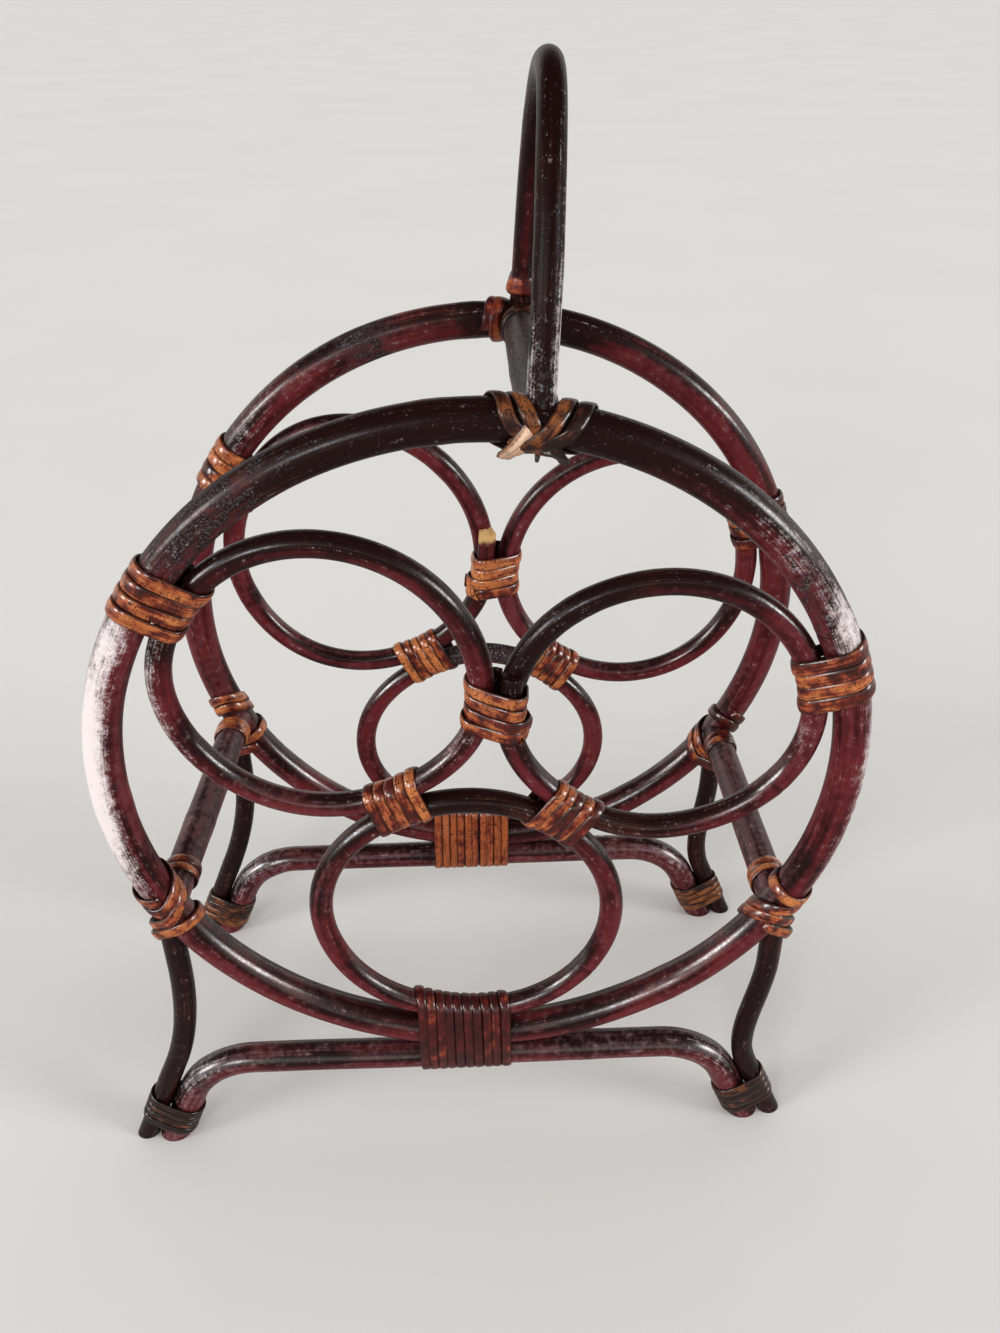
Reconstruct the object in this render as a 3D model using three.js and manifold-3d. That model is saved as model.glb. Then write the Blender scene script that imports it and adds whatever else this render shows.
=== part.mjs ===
// Rattan wine rack for three bottles: two bent-cane end frames, joined by two side rails
// and a top bar, with a fixed carrying handle, nailed and bound with strips of rattan peel.
// Millimetres, +Z up, the front frame towards -Y. The rack stands on its eight cane tips.

import * as THREE from 'three';
import { mergeVertices } from 'three/addons/utils/BufferGeometryUtils.js';
import Module from 'manifold-3d';

// Cane diameters
const HOOP_CANE = 15;
const LOOP_CANE = 10;
const LEG_CANE = 10;
const HANDLE_CANE = 10;
const STRETCHER_CANE = 14;
const RAIL_CANE = 14;
const BAR_CANE = 15;

// Layout of an end frame and the distance between the two
const END_SPACING = 137;
const STRETCHER_HEIGHT = 49.5;
const STRETCHER_BEND = 34;
const FOOT_SPREAD = 286;
const FOOT_KICK = 23;
const FOOT_WRAP_HEIGHT = 17.5;
const LEG_BELOW_RAIL = 4;
const LEG_TOP_STRAIGHT = 22;
const LEG_FOOT_STRAIGHT = { left: 50, right: 34 };

// Handle: its height over the hoops, how far it leans, and the fullness of its arch
const HANDLE_RISE = 102;
const HANDLE_LEAN = 3.2;
const HANDLE_FLANK = 66;
const HANDLE_TUCK = 6;
const HANDLE_SHOULDER = 34;

// The two ends differ a little, as canes bent by hand do. setOver is how far the hoop stands to
// the right of the feet. The three loops gather at the knot, and each pair of them is bound at an
// angle and a distance from it. Angles are in degrees. Side wraps lie that far above the level
// through the hoop's centre, and rails and inner bindings below it. The top joint and the centre
// binding lie to the right of upright, and the bottom wrap to the left of straight down. The
// fullness of a loop is 1 where its flanks are nearly arcs. One loop of each end is lapped: its
// shaved end rises that far out of the centre wrap.
const FRONT = {
  name: 'front', side: -1, shift: 0, setOver: 13.5, hoopRadius: 145,
  wrapLeft: 36, wrapRight: 18, wrapBottom: 4, railLeft: 25.3, railRight: 30.4, top: 8.3,
  knot: { x: 2, z: 2 }, upperFullness: 1, lowerFullness: 1.03,
  centre: { angle: 5.8, reach: 30.6 }, innerLeft: { angle: 22, reach: 38.5 },
  innerRight: { angle: 37, reach: 37.5 },
  lap: { loop: 'right_loop', rise: 6 },
};
const REAR = {
  name: 'rear', side: 1, shift: 4.5, setOver: 16, hoopRadius: 142.5,
  wrapLeft: 33, wrapRight: 19.5, wrapBottom: 4.5, railLeft: 24.3, railRight: 32.8, top: 6.2,
  knot: { x: 1, z: -10.2 }, upperFullness: 1.04, lowerFullness: 1.18,
  centre: { angle: 4.4, reach: 32 }, innerLeft: { angle: 25.5, reach: 36.5 },
  innerRight: { angle: 35.4, reach: 37 },
  lap: { loop: 'left_loop', rise: 12 },
};

// Rattan peel strips: width, thickness, distance from one turn to the next and number of turns
const STRIPS = {
  hoopWrap: { width: 5.4, thick: 1, pitch: 6, turns: 4 },
  centreWrap: { width: 5, thick: 1, pitch: 5.6, turns: 4 },
  innerWrap: { width: 4, thick: 1, pitch: 4.5, turns: 5 },
  bottomWrap: { width: 3.5, thick: 1, pitch: 4.1, turns: 10 },
  footWrap: { width: 3.8, thick: 1, pitch: 4.3, turns: 4 },
  collar: { width: 4.2, thick: 1, pitch: 4.7, turns: 2 },
  lashing: { width: 3.6, thick: 1, pitch: 5.6, turns: 4 },
  cross: { width: 3.4, thick: 1, pitch: 6.4, turns: 4 },
};

// Lapped end of a loop: its shaved diameter, and how far it lies in front of the loop
const LAP_CANE = 8;
const LAP_STEP = 5.5;

// Nails and fits
const NAIL = { shank: 2, length: 32, head: 4.4, headThick: 1, point: 3 };
const LEG_NAIL_LENGTH = 15;
const NAIL_SINK = 0.6;
const NAIL_STEP = 2;
const SEAT = 0.3;
const LOOP_SEAT = 0.45;
const STRIP_SEAT = 0.45;
const LASHING_SEAT = 0.75;
const STRIP_ROOM = 2;
const SCARF_GAP = 0.4;
const SCARF_ANGLE = 24;
const CROSSING_GAP = 0.7;
const LEAST_GAP = 0.4;

// Facets
const HOOP_STEPS = 56;
const LOOP_STEPS = 34;
const LAP_STEPS = 7;
const STRETCHER_STEPS = 26;
const LEG_STEPS = 11;
const HANDLE_STEPS = 26;
const THICK_SIDES = 10;
const THIN_SIDES = 8;
const NAIL_SIDES = 6;
const WRAP_STEPS = 9;
const LASHING_STEPS = 10;
const CROSS_STEPS = 14;

const LACQUER = { color: 0x46201f, roughness: 0.3, metalness: 0 };
const LACQUER_DARK = { color: 0x2a1414, roughness: 0.35, metalness: 0 };
const DUSTY = { color: 0x5a433e, roughness: 0.6, metalness: 0 };
const GREY = { color: 0x4e4a49, roughness: 0.75, metalness: 0 };
const PEEL = { color: 0x96552c, roughness: 0.4, metalness: 0 };
const PEEL_DARK = { color: 0x50302a, roughness: 0.45, metalness: 0 };
const PEEL_RED = { color: 0x6e2018, roughness: 0.35, metalness: 0 };
const STEEL = { color: 0x8a8d90, roughness: 0.4, metalness: 1 };

const AXIS_X = new THREE.Vector3(1, 0, 0);
const AXIS_Y = new THREE.Vector3(0, 1, 0);
const AXIS_Z = new THREE.Vector3(0, 0, 1);
const TAU = 2 * Math.PI;

const wasm = await Module();
wasm.setup();

const rack = new THREE.Group();

function place(name, geometry, look) {
  const mesh = new THREE.Mesh(geometry, new THREE.MeshStandardMaterial(look));
  mesh.name = name;
  rack.add(mesh);
}

// Small vector helpers

const radians = THREE.MathUtils.degToRad;

function stepFrom(point, ...moves) {
  const moved = point.clone();
  moves.forEach(([direction, distance]) => moved.addScaledVector(direction, distance));
  return moved;
}

function spoke(degrees) {
  return new THREE.Vector3(Math.cos(radians(degrees)), 0, Math.sin(radians(degrees)));
}

function tangent(degrees) {
  return spoke(degrees + 90);
}

// Solids and cuts

function solidOf(geometry) {
  const bare = geometry.clone();
  bare.deleteAttribute('normal');
  bare.deleteAttribute('uv');
  const merged = mergeVertices(bare, 1e-4);
  return new wasm.Manifold(new wasm.Mesh({
    numProp: 3,
    vertProperties: new Float32Array(merged.attributes.position.array),
    triVerts: new Uint32Array(wholeTriangles(merged.index.array)),
  }));
}

// Leaves out the triangles that shrink to a line on a revolved shape's axis.
function wholeTriangles(corners) {
  const kept = [];
  for (let i = 0; i < corners.length; i += 3) {
    const [a, b, c] = [corners[i], corners[i + 1], corners[i + 2]];
    if (a !== b && b !== c && c !== a) {
      kept.push(a, b, c);
    }
  }
  return kept;
}

function geometryOf(solid) {
  const mesh = solid.getMesh();
  const geometry = new THREE.BufferGeometry();
  geometry.setAttribute('position', new THREE.BufferAttribute(new Float32Array(mesh.vertProperties), 3));
  geometry.setIndex(new THREE.BufferAttribute(new Uint32Array(mesh.triVerts), 1));
  return geometry;
}

function cut(solid, tools) {
  return tools.reduce((rest, tool) => rest.subtract(tool), solid);
}

// Turns a shape made along +Z to lie along a direction, starting at a point.
function aim(geometry, from, direction) {
  const turn = new THREE.Quaternion().setFromUnitVectors(AXIS_Z, direction);
  return geometry.applyQuaternion(turn).translate(from.x, from.y, from.z);
}

// Canes

function caneAlong(path, diameter, steps, sides) {
  const section = new THREE.Shape().absarc(0, 0, diameter / 2, 0, TAU);
  return new THREE.ExtrudeGeometry(section, {
    steps, curveSegments: sides / 2, bevelEnabled: false, extrudePath: path,
  });
}

function pathOf(...curves) {
  const path = new THREE.CurvePath();
  curves.forEach((curve) => path.add(curve));
  return path;
}

// A bend as near to a circular arc as its two ends and headings allow, or fuller than that.
function bendBetween(from, to, fullness = 1) {
  const turn = from.heading.angleTo(to.heading);
  const radius = from.at.distanceTo(to.at) / (2 * Math.sin(turn / 2));
  const reach = (4 / 3) * Math.tan(turn / 4) * radius * fullness;
  return new THREE.CubicBezierCurve3(
    from.at,
    stepFrom(from.at, [from.heading, reach]),
    stepFrom(to.at, [to.heading, -reach]),
    to.at,
  );
}

// Nails, with the bores that hold them

function nailShape(length) {
  const profile = [
    [0, 0], [NAIL.head / 2, 0], [NAIL.head / 2, NAIL.headThick], [NAIL.shank / 2, NAIL.headThick],
    [NAIL.shank / 2, length - NAIL.point], [0, length],
  ];
  return new THREE.LatheGeometry(profile.map(([r, z]) => new THREE.Vector2(r, z)), NAIL_SIDES)
    .rotateX(Math.PI / 2);
}

function boreShape(length) {
  const slack = SEAT / Math.cos(Math.PI / NAIL_SIDES);
  const head = NAIL.head / 2 + slack;
  const shank = NAIL.shank / 2 + slack;
  const profile = [
    [0, -NAIL.head], [head, -NAIL.head], [head, NAIL.headThick + SEAT],
    [shank, NAIL.headThick + SEAT], [shank, length + SEAT], [0, length + SEAT],
  ];
  return new THREE.LatheGeometry(profile.map(([r, z]) => new THREE.Vector2(r, z)), NAIL_SIDES)
    .rotateX(Math.PI / 2);
}

function nailAt(name, from, direction, length) {
  place(name, geometryOf(solidOf(aim(nailShape(length), from, direction))), STEEL);
  return solidOf(aim(boreShape(length), from, direction));
}

// End frames

function onHoop(end, degrees, radius = end.hoopRadius) {
  return stepFrom(end.hoopCentre, [spoke(degrees), radius]);
}

function ringSolid(end, extra) {
  const ring = new THREE.TorusGeometry(end.hoopRadius, HOOP_CANE / 2 + extra, THICK_SIDES, HOOP_STEPS);
  const { x, y, z } = end.hoopCentre;
  return solidOf(ring.rotateX(Math.PI / 2).translate(x, y, z));
}

// The slanting cut where the two ends of a ring meet, hidden under a wrap.
function scarfCut(at, along, diameter) {
  const slant = radians(SCARF_ANGLE);
  const length = along.clone().multiplyScalar(Math.cos(slant)).addScaledVector(AXIS_Y, Math.sin(slant));
  const breadth = new THREE.Vector3().crossVectors(AXIS_Y, along).normalize();
  const normal = new THREE.Vector3().crossVectors(length, breadth);
  const slab = new THREE.BoxGeometry(diameter / Math.sin(slant) + diameter, 1.6 * diameter, SCARF_GAP);
  slab.applyMatrix4(new THREE.Matrix4().makeBasis(length, breadth, normal));
  return solidOf(slab.translate(at.x, at.y, at.z));
}

// Turns the stated angles into angles round the hoop from +X, anticlockwise seen from the front.
function roundFromX(shape) {
  return {
    wrapLeft: 180 - shape.wrapLeft,
    wrapRight: shape.wrapRight,
    wrapBottom: 270 - shape.wrapBottom,
    railLeft: 180 + shape.railLeft,
    railRight: 360 - shape.railRight,
    top: 90 - shape.top,
    centre: { ...shape.centre, angle: 90 - shape.centre.angle },
    innerLeft: { ...shape.innerLeft, angle: 180 + shape.innerLeft.angle },
    innerRight: { ...shape.innerRight, angle: 360 - shape.innerRight.angle },
  };
}

function buildEnd(shape) {
  const end = { ...shape, ...roundFromX(shape) };
  end.y = end.side * END_SPACING / 2;
  end.inward = AXIS_Y.clone().multiplyScalar(-end.side);
  const hoopBottom = STRETCHER_HEIGHT + STRETCHER_CANE / 2 + SEAT + HOOP_CANE / 2;
  end.hoopCentre = new THREE.Vector3(end.shift + end.setOver, end.y, hoopBottom + end.hoopRadius);
  end.knotPoint = end.hoopCentre.clone().add(new THREE.Vector3(end.knot.x, 0, end.knot.z));
  end.hoopBores = [];
  end.hoopLine = ringLine(end);
  return end;
}

function ringLine(end) {
  const count = 4 * HOOP_STEPS;
  return Array.from({ length: count + 1 }, (_, i) => onHoop(end, (360 * i) / count));
}

// Where a loop touches another loop, on the clockwise or the anticlockwise side of their binding.
function bindingPass(end, binding, side, heading) {
  const half = (LOOP_CANE + SEAT) / 2;
  const at = stepFrom(
    end.knotPoint,
    [spoke(binding.angle), binding.reach],
    [tangent(binding.angle), side * half],
  );
  return { at, heading: spoke(binding.angle).multiplyScalar(heading) };
}

function hoopPass(end, degrees) {
  const radius = end.hoopRadius - HOOP_CANE / 2 - LOOP_SEAT - LOOP_CANE / 2;
  return { at: onHoop(end, degrees, radius), heading: tangent(degrees) };
}

// A loop goes from the hoop in to the knot along one binding, and back out along the other.
function loopPath(end, hoopAngle, inBinding, outBinding, fullness) {
  const touch = hoopPass(end, hoopAngle);
  const inPass = bindingPass(end, inBinding, -1, -1);
  const outPass = bindingPass(end, outBinding, 1, 1);
  return pathOf(
    bendBetween(touch, inPass, fullness),
    bendBetween(inPass, outPass),
    bendBetween(outPass, touch, fullness),
  );
}

// The end of a lapped loop leaves the loop inside the wrap, and lies in front of it from there on.
function lapPath(at, along, rise) {
  const half = (STRIPS.centreWrap.turns * STRIPS.centreWrap.pitch) / 2;
  const beside = stepFrom(at, [AXIS_Y, -LAP_STEP]);
  return pathOf(
    new THREE.CubicBezierCurve3(
      stepFrom(at, [along, -half]),
      stepFrom(at, [along, -half / 2]),
      stepFrom(beside, [along, -half / 2]),
      beside,
    ),
    new THREE.LineCurve3(beside, stepFrom(beside, [along, half + rise])),
  );
}

// A ring's two ends meet at one of its bindings, in a lap or in a scarf.
function makeLoop(end, name, path, binding) {
  const ring = solidOf(new THREE.TubeGeometry(path, LOOP_STEPS, LOOP_CANE / 2, THIN_SIDES, true));
  const along = spoke(binding.angle);
  const side = [tangent(binding.angle), binding.side * (LOOP_CANE + SEAT) / 2];
  const at = stepFrom(end.knotPoint, [along, binding.reach], side);
  const line = { points: path.getSpacedPoints(4 * LOOP_STEPS), radius: LOOP_CANE / 2 };
  if (name !== end.lap.loop) {
    place(`${end.name}_${name}`, geometryOf(cut(ring, [scarfCut(at, along, LOOP_CANE)])), LACQUER);
    return line;
  }
  const lap = lapPath(at, along, end.lap.rise);
  const lapped = ring.add(solidOf(caneAlong(lap, LAP_CANE, LAP_STEPS, THIN_SIDES)));
  place(`${end.name}_${name}`, geometryOf(lapped), LACQUER);
  end.lapLine = { points: lap.getSpacedPoints(4 * LAP_STEPS), radius: LAP_CANE / 2 };
  return line;
}

function makeLoops(end) {
  const paths = {
    left_loop: loopPath(end, end.wrapLeft, end.innerLeft, end.centre, end.upperFullness),
    right_loop: loopPath(end, end.wrapRight, end.centre, end.innerRight, end.upperFullness),
    lower_loop: loopPath(end, end.wrapBottom, end.innerRight, end.innerLeft, end.lowerFullness),
  };
  end.leftLoop = makeLoop(end, 'left_loop', paths.left_loop, { ...end.centre, side: 1 });
  end.rightLoop = makeLoop(end, 'right_loop', paths.right_loop, { ...end.centre, side: -1 });
  end.lowerLoop = makeLoop(end, 'lower_loop', paths.lower_loop, { ...end.innerLeft, side: 1 });
}

// Feet: a leg and the end of the stretcher lie side by side and kick outwards to the floor.

function footOf(end, side) {
  const up = new THREE.Vector3(-side * Math.sin(radians(FOOT_KICK)), 0, Math.cos(radians(FOOT_KICK)));
  const out = new THREE.Vector3(side * Math.cos(radians(FOOT_KICK)), 0, Math.sin(radians(FOOT_KICK)));
  const half = (LEG_CANE + STRETCHER_CANE + SEAT) / 2;
  const floor = new THREE.Vector3(end.shift + (side * FOOT_SPREAD) / 2, end.y, 0);
  return {
    side, up, out, floor,
    leg: stepFrom(floor, [out, half - LEG_CANE / 2]),
    stretcher: stepFrom(floor, [out, STRETCHER_CANE / 2 - half]),
  };
}

function floorBlock() {
  const size = 4 * END_SPACING + 4 * FOOT_SPREAD;
  return solidOf(new THREE.BoxGeometry(size, size, size).translate(0, 0, -size / 2));
}

function makeStretcher(end) {
  const kneeDrop = STRETCHER_BEND * (1 - Math.sin(radians(FOOT_KICK)));
  const passes = end.feet.map((foot) => {
    const climb = (STRETCHER_HEIGHT - kneeDrop - foot.stretcher.z) / foot.up.z;
    const knee = stepFrom(foot.stretcher, [foot.up, climb]);
    const run = STRETCHER_BEND * Math.cos(radians(FOOT_KICK));
    const level = new THREE.Vector3(knee.x - foot.side * run, end.y, STRETCHER_HEIGHT);
    return { start: stepFrom(foot.stretcher, [foot.up, -STRETCHER_CANE]), knee, level, up: foot.up };
  });
  const [left, right] = passes;
  const path = pathOf(
    new THREE.LineCurve3(left.start, left.knee),
    bendBetween({ at: left.knee, heading: left.up }, { at: left.level, heading: AXIS_X }),
    new THREE.LineCurve3(left.level, right.level),
    bendBetween(
      { at: right.level, heading: AXIS_X },
      { at: right.knee, heading: right.up.clone().negate() },
    ),
    new THREE.LineCurve3(right.knee, right.start),
  );
  const cane = solidOf(caneAlong(path, STRETCHER_CANE, STRETCHER_STEPS, THICK_SIDES));
  place(`${end.name}_foot_stretcher`, geometryOf(cut(cane, [floorBlock()])), LACQUER_DARK);
  end.stretcherLine = { points: path.getSpacedPoints(4 * STRETCHER_STEPS), radius: STRETCHER_CANE / 2 };
}

// A leg runs straight up from its foot, bends upright and is coped against the underside of the hoop.
function makeLeg(end, foot, sideName) {
  const railAngle = foot.side < 0 ? end.railLeft + LEG_BELOW_RAIL : end.railRight - LEG_BELOW_RAIL;
  const contact = onHoop(end, railAngle, end.hoopRadius + HOOP_CANE / 2);
  const offset = contact.x - end.hoopCentre.x;
  const buried = end.hoopCentre.z - Math.sqrt(end.hoopRadius ** 2 - offset ** 2);
  const summit = new THREE.Vector3(contact.x, end.y, buried);
  const shoulder = stepFrom(contact, [AXIS_Z, -LEG_TOP_STRAIGHT]);
  const knee = stepFrom(foot.leg, [foot.up, LEG_FOOT_STRAIGHT[sideName]]);
  const reach = knee.distanceTo(shoulder) / 3;
  const path = pathOf(
    new THREE.LineCurve3(stepFrom(foot.leg, [foot.up, -LEG_CANE]), knee),
    new THREE.CubicBezierCurve3(
      knee,
      stepFrom(knee, [foot.up, reach]),
      stepFrom(shoulder, [AXIS_Z, -reach]),
      shoulder,
    ),
    new THREE.LineCurve3(shoulder, summit),
  );
  const nailFrom = stepFrom(contact, [AXIS_X, foot.side * (LEG_CANE / 2 - NAIL_SINK)]);
  const inwards = AXIS_X.clone().multiplyScalar(-foot.side);
  const bore = nailAt(`${end.name}_${sideName}_leg_nail`, nailFrom, inwards, LEG_NAIL_LENGTH);
  end.hoopBores.push(bore);
  const cane = solidOf(caneAlong(path, LEG_CANE, LEG_STEPS, THIN_SIDES));
  const leg = cut(cane, [floorBlock(), ringSolid(end, SEAT), bore]);
  place(`${end.name}_${sideName}_leg`, geometryOf(leg), LACQUER_DARK);
  return {
    points: path.getSpacedPoints(4 * LEG_STEPS), radius: LEG_CANE / 2,
    seat: solidOf(caneAlong(path, LEG_CANE + 2 * SEAT, LEG_STEPS, THIN_SIDES)),
  };
}

// Rails and bar run from hoop to hoop, coped at both ends and nailed through the hoops, and
// notched to clear the seats of the canes that stand beside their ends.
function makeCrosspiece({ name, angles, diameter, look, seats, nailOffset = 0 }) {
  const points = ends.map((end, i) => onHoop(end, angles[i]));
  const cane = solidOf(caneAlong(new THREE.LineCurve3(...points), diameter, 1, THICK_SIDES));
  const bores = ends.map((end, i) => {
    const inwards = points[1 - i].clone().sub(points[i]).normalize();
    const from = stepFrom(
      points[i],
      [inwards, NAIL_SINK - HOOP_CANE / 2],
      [tangent(angles[i]), nailOffset],
    );
    const bore = nailAt(`${end.name}_${name}_nail`, from, inwards, NAIL.length);
    end.hoopBores.push(bore);
    return bore;
  });
  const copes = ends.map((end) => ringSolid(end, SEAT));
  place(name, geometryOf(cut(cane, [...copes, ...seats, ...bores])), look);
  return { points, radius: diameter / 2 };
}

// The handle is one cane bent into an arch, standing on the tops of the two hoops.
function makeHandle() {
  const [frontFoot, rearFoot] = ends.map((end) => onHoop(end, end.top));
  const rise = new THREE.Vector3(Math.sin(radians(HANDLE_LEAN)), 0, Math.cos(radians(HANDLE_LEAN)));
  const back = rearFoot.clone().sub(frontFoot).normalize();
  const apex = stepFrom(frontFoot.clone().lerp(rearFoot, 0.5), [rise, HANDLE_RISE]);
  const halves = [[frontFoot, 1], [rearFoot, -1]].map(([foot, way]) => new THREE.CubicBezierCurve3(
    foot,
    stepFrom(foot, [rise, HANDLE_FLANK], [back, way * HANDLE_TUCK]),
    stepFrom(apex, [back, -way * HANDLE_SHOULDER]),
    apex,
  ));
  const [rising, falling] = halves;
  const falls = new THREE.CubicBezierCurve3(falling.v3, falling.v2, falling.v1, falling.v0);
  const path = pathOf(rising, falls);
  const cane = solidOf(caneAlong(path, HANDLE_CANE, HANDLE_STEPS, THIN_SIDES));
  const bores = ends.map((end, i) => {
    const upwards = halves[i].v1.clone().sub(halves[i].v0).normalize();
    const from = stepFrom(
      onHoop(end, end.top),
      [upwards, NAIL_SINK - HOOP_CANE / 2],
      [tangent(end.top), NAIL_STEP],
    );
    const bore = nailAt(`${end.name}_handle_nail`, from, upwards, NAIL.length);
    end.hoopBores.push(bore);
    return bore;
  });
  const copes = ends.map((end) => ringSolid(end, SEAT));
  place('handle', geometryOf(cut(cane, [...copes, ...bores])), LACQUER);
  return {
    points: path.getSpacedPoints(4 * HANDLE_STEPS), radius: HANDLE_CANE / 2,
    seat: solidOf(caneAlong(path, HANDLE_CANE + 2 * SEAT, HANDLE_STEPS, THIN_SIDES)),
  };
}

function makeHoop(end) {
  const scarf = scarfCut(onHoop(end, end.wrapBottom), tangent(end.wrapBottom), HOOP_CANE);
  place(`${end.name}_hoop`, geometryOf(cut(ringSolid(end, 0), [scarf, ...end.hoopBores])), LACQUER);
}

// Peel windings. A winding goes round a bundle of canes near a joint. The joint has three square
// axes: along the bundle, across it and inward. At each step the strip lies on the outline of
// the bundle, seen along it, in the direction of the turn's angle.

// Where a cane's centreline crosses the plane at a distance along the joint, and its radius there.
function sectionAt(cane, joint, distance) {
  let nearest = null;
  for (let i = 1; i < cane.points.length; i += 1) {
    const from = cane.points[i - 1].clone().sub(joint.at);
    const to = cane.points[i].clone().sub(joint.at);
    const [a, b] = [from.dot(joint.along) - distance, to.dot(joint.along) - distance];
    if (a * b <= 0 && a !== b) {
      const hit = from.clone().lerp(to, a / (a - b));
      const section = {
        across: hit.dot(joint.across),
        inward: hit.dot(joint.inward),
        radius: cane.radius * from.distanceTo(to) / Math.abs(a - b),
      };
      section.off = Math.hypot(section.across, section.inward);
      nearest = nearest && nearest.off <= section.off ? nearest : section;
    }
  }
  return nearest;
}

// How far the bundle reaches out at an angle, over the strip's width.
function reachAt({ canes, joint, strip, station, seat }, turn) {
  const [c, s] = [Math.cos(TAU * turn), Math.sin(TAU * turn)];
  const rims = [-strip.width / 2, 0, strip.width / 2].flatMap((shift) => canes.map((cane) => {
    const section = sectionAt(cane, joint, station(turn) + shift);
    return section ? section.across * c + section.inward * s + section.radius : -Infinity;
  }));
  return Math.max(...rims) + seat + strip.thick / 2;
}

// Each step of the strip is a corner between two straight edges that clear the bundle.
function windingLine(winding) {
  const { joint, steps, from, to, station, lift = () => 0 } = winding;
  const count = Math.round((to - from) * steps);
  const half = 1 / (2 * steps);
  return Array.from({ length: count + 1 }, (_, i) => {
    const turn = from + ((to - from) * i) / count;
    const [before, after] = [reachAt(winding, turn - half), reachAt(winding, turn + half)];
    const out = (before + after) / (2 * Math.cos(TAU * half));
    const aside = (after - before) / (2 * Math.sin(TAU * half));
    const [c, s] = [Math.cos(TAU * turn), Math.sin(TAU * turn)];
    const normal = stepFrom(new THREE.Vector3(), [joint.across, c], [joint.inward, s]);
    const onward = stepFrom(new THREE.Vector3(), [joint.across, -s], [joint.inward, c]);
    const distance = station(turn);
    const at = stepFrom(joint.at, [joint.along, distance], [normal, out + lift(turn)], [onward, aside]);
    return { at, normal };
  });
}

// The strip's two ends run straight on for one strip's width.
function withStraightEnds(line, reach) {
  const first = line[0];
  const last = line[line.length - 1];
  const leadIn = first.at.clone().sub(line[1].at).setLength(reach).add(first.at);
  const leadOut = last.at.clone().sub(line[line.length - 2].at).setLength(reach).add(last.at);
  return [{ at: leadIn, normal: first.normal }, ...line, { at: leadOut, normal: last.normal }];
}

function ribbonFrames(line) {
  return line.map(({ at, normal }, i) => {
    const before = line[Math.max(i - 1, 0)].at;
    const after = line[Math.min(i + 1, line.length - 1)].at;
    const forward = after.clone().sub(before).normalize();
    const breadth = new THREE.Vector3().crossVectors(forward, normal).normalize();
    return { at, breadth, normal: new THREE.Vector3().crossVectors(breadth, forward) };
  });
}

function ribbonGeometry(frames, strip) {
  const corners = [[1, 1], [-1, 1], [-1, -1], [1, -1]];
  const positions = frames.flatMap(({ at, breadth, normal }) => corners.flatMap(([b, n]) => stepFrom(
    at,
    [breadth, (b * strip.width) / 2],
    [normal, (n * strip.thick) / 2],
  ).toArray()));
  const faces = [0, 1, 2, 0, 2, 3];
  for (let ring = 0; ring < frames.length - 1; ring += 1) {
    for (let side = 0; side < 4; side += 1) {
      const a = 4 * ring + side;
      const b = 4 * ring + ((side + 1) % 4);
      faces.push(a, a + 4, b, b, a + 4, b + 4);
    }
  }
  const end = 4 * (frames.length - 1);
  faces.push(end, end + 2, end + 1, end, end + 3, end + 2);
  const geometry = new THREE.BufferGeometry();
  geometry.setAttribute('position', new THREE.Float32BufferAttribute(positions, 3));
  geometry.setIndex(faces);
  return geometry;
}

// The least gap between turns, between points spread over both faces of the strip.
function leastGap(frames, strip, steps) {
  const finer = 4;
  const spots = [];
  for (let i = 0; i < (frames.length - 1) * finer; i += 1) {
    const [a, b] = frames.slice(Math.floor(i / finer));
    const t = (i % finer) / finer;
    const at = a.at.clone().lerp(b.at, t);
    const breadth = a.breadth.clone().lerp(b.breadth, t).normalize();
    const normal = a.normal.clone().lerp(b.normal, t).normalize();
    for (const across of [-0.5, -0.25, 0, 0.25, 0.5]) {
      for (const face of [-0.5, 0.5]) {
        spots.push({ i, at: stepFrom(at, [breadth, across * strip.width], [normal, face * strip.thick]) });
      }
    }
  }
  let least = Infinity;
  for (const one of spots) {
    for (const other of spots) {
      if (other.i - one.i > (finer * steps) / 2) {
        least = Math.min(least, one.at.distanceTo(other.at));
      }
    }
  }
  return least;
}

function wind(name, winding, look) {
  const frames = ribbonFrames(withStraightEnds(windingLine(winding), winding.strip.width));
  const gap = leastGap(frames, winding.strip, winding.steps);
  const verdict = gap > LEAST_GAP ? 'clear' : 'TOO CLOSE';
  console.log(`${name}: least gap between turns ${gap.toFixed(2)} mm, ${verdict}`);
  place(name, ribbonGeometry(frames, winding.strip), look);
}

// An even winding, its ends tucked away on the inward side.
function evenWinding(canes, joint, strip, seat = STRIP_SEAT) {
  const tuck = 0.25;
  return {
    canes, joint, strip, seat, steps: WRAP_STEPS, from: tuck, to: tuck + strip.turns,
    station: (turn) => (turn - tuck - strip.turns / 2) * strip.pitch,
  };
}

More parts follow.
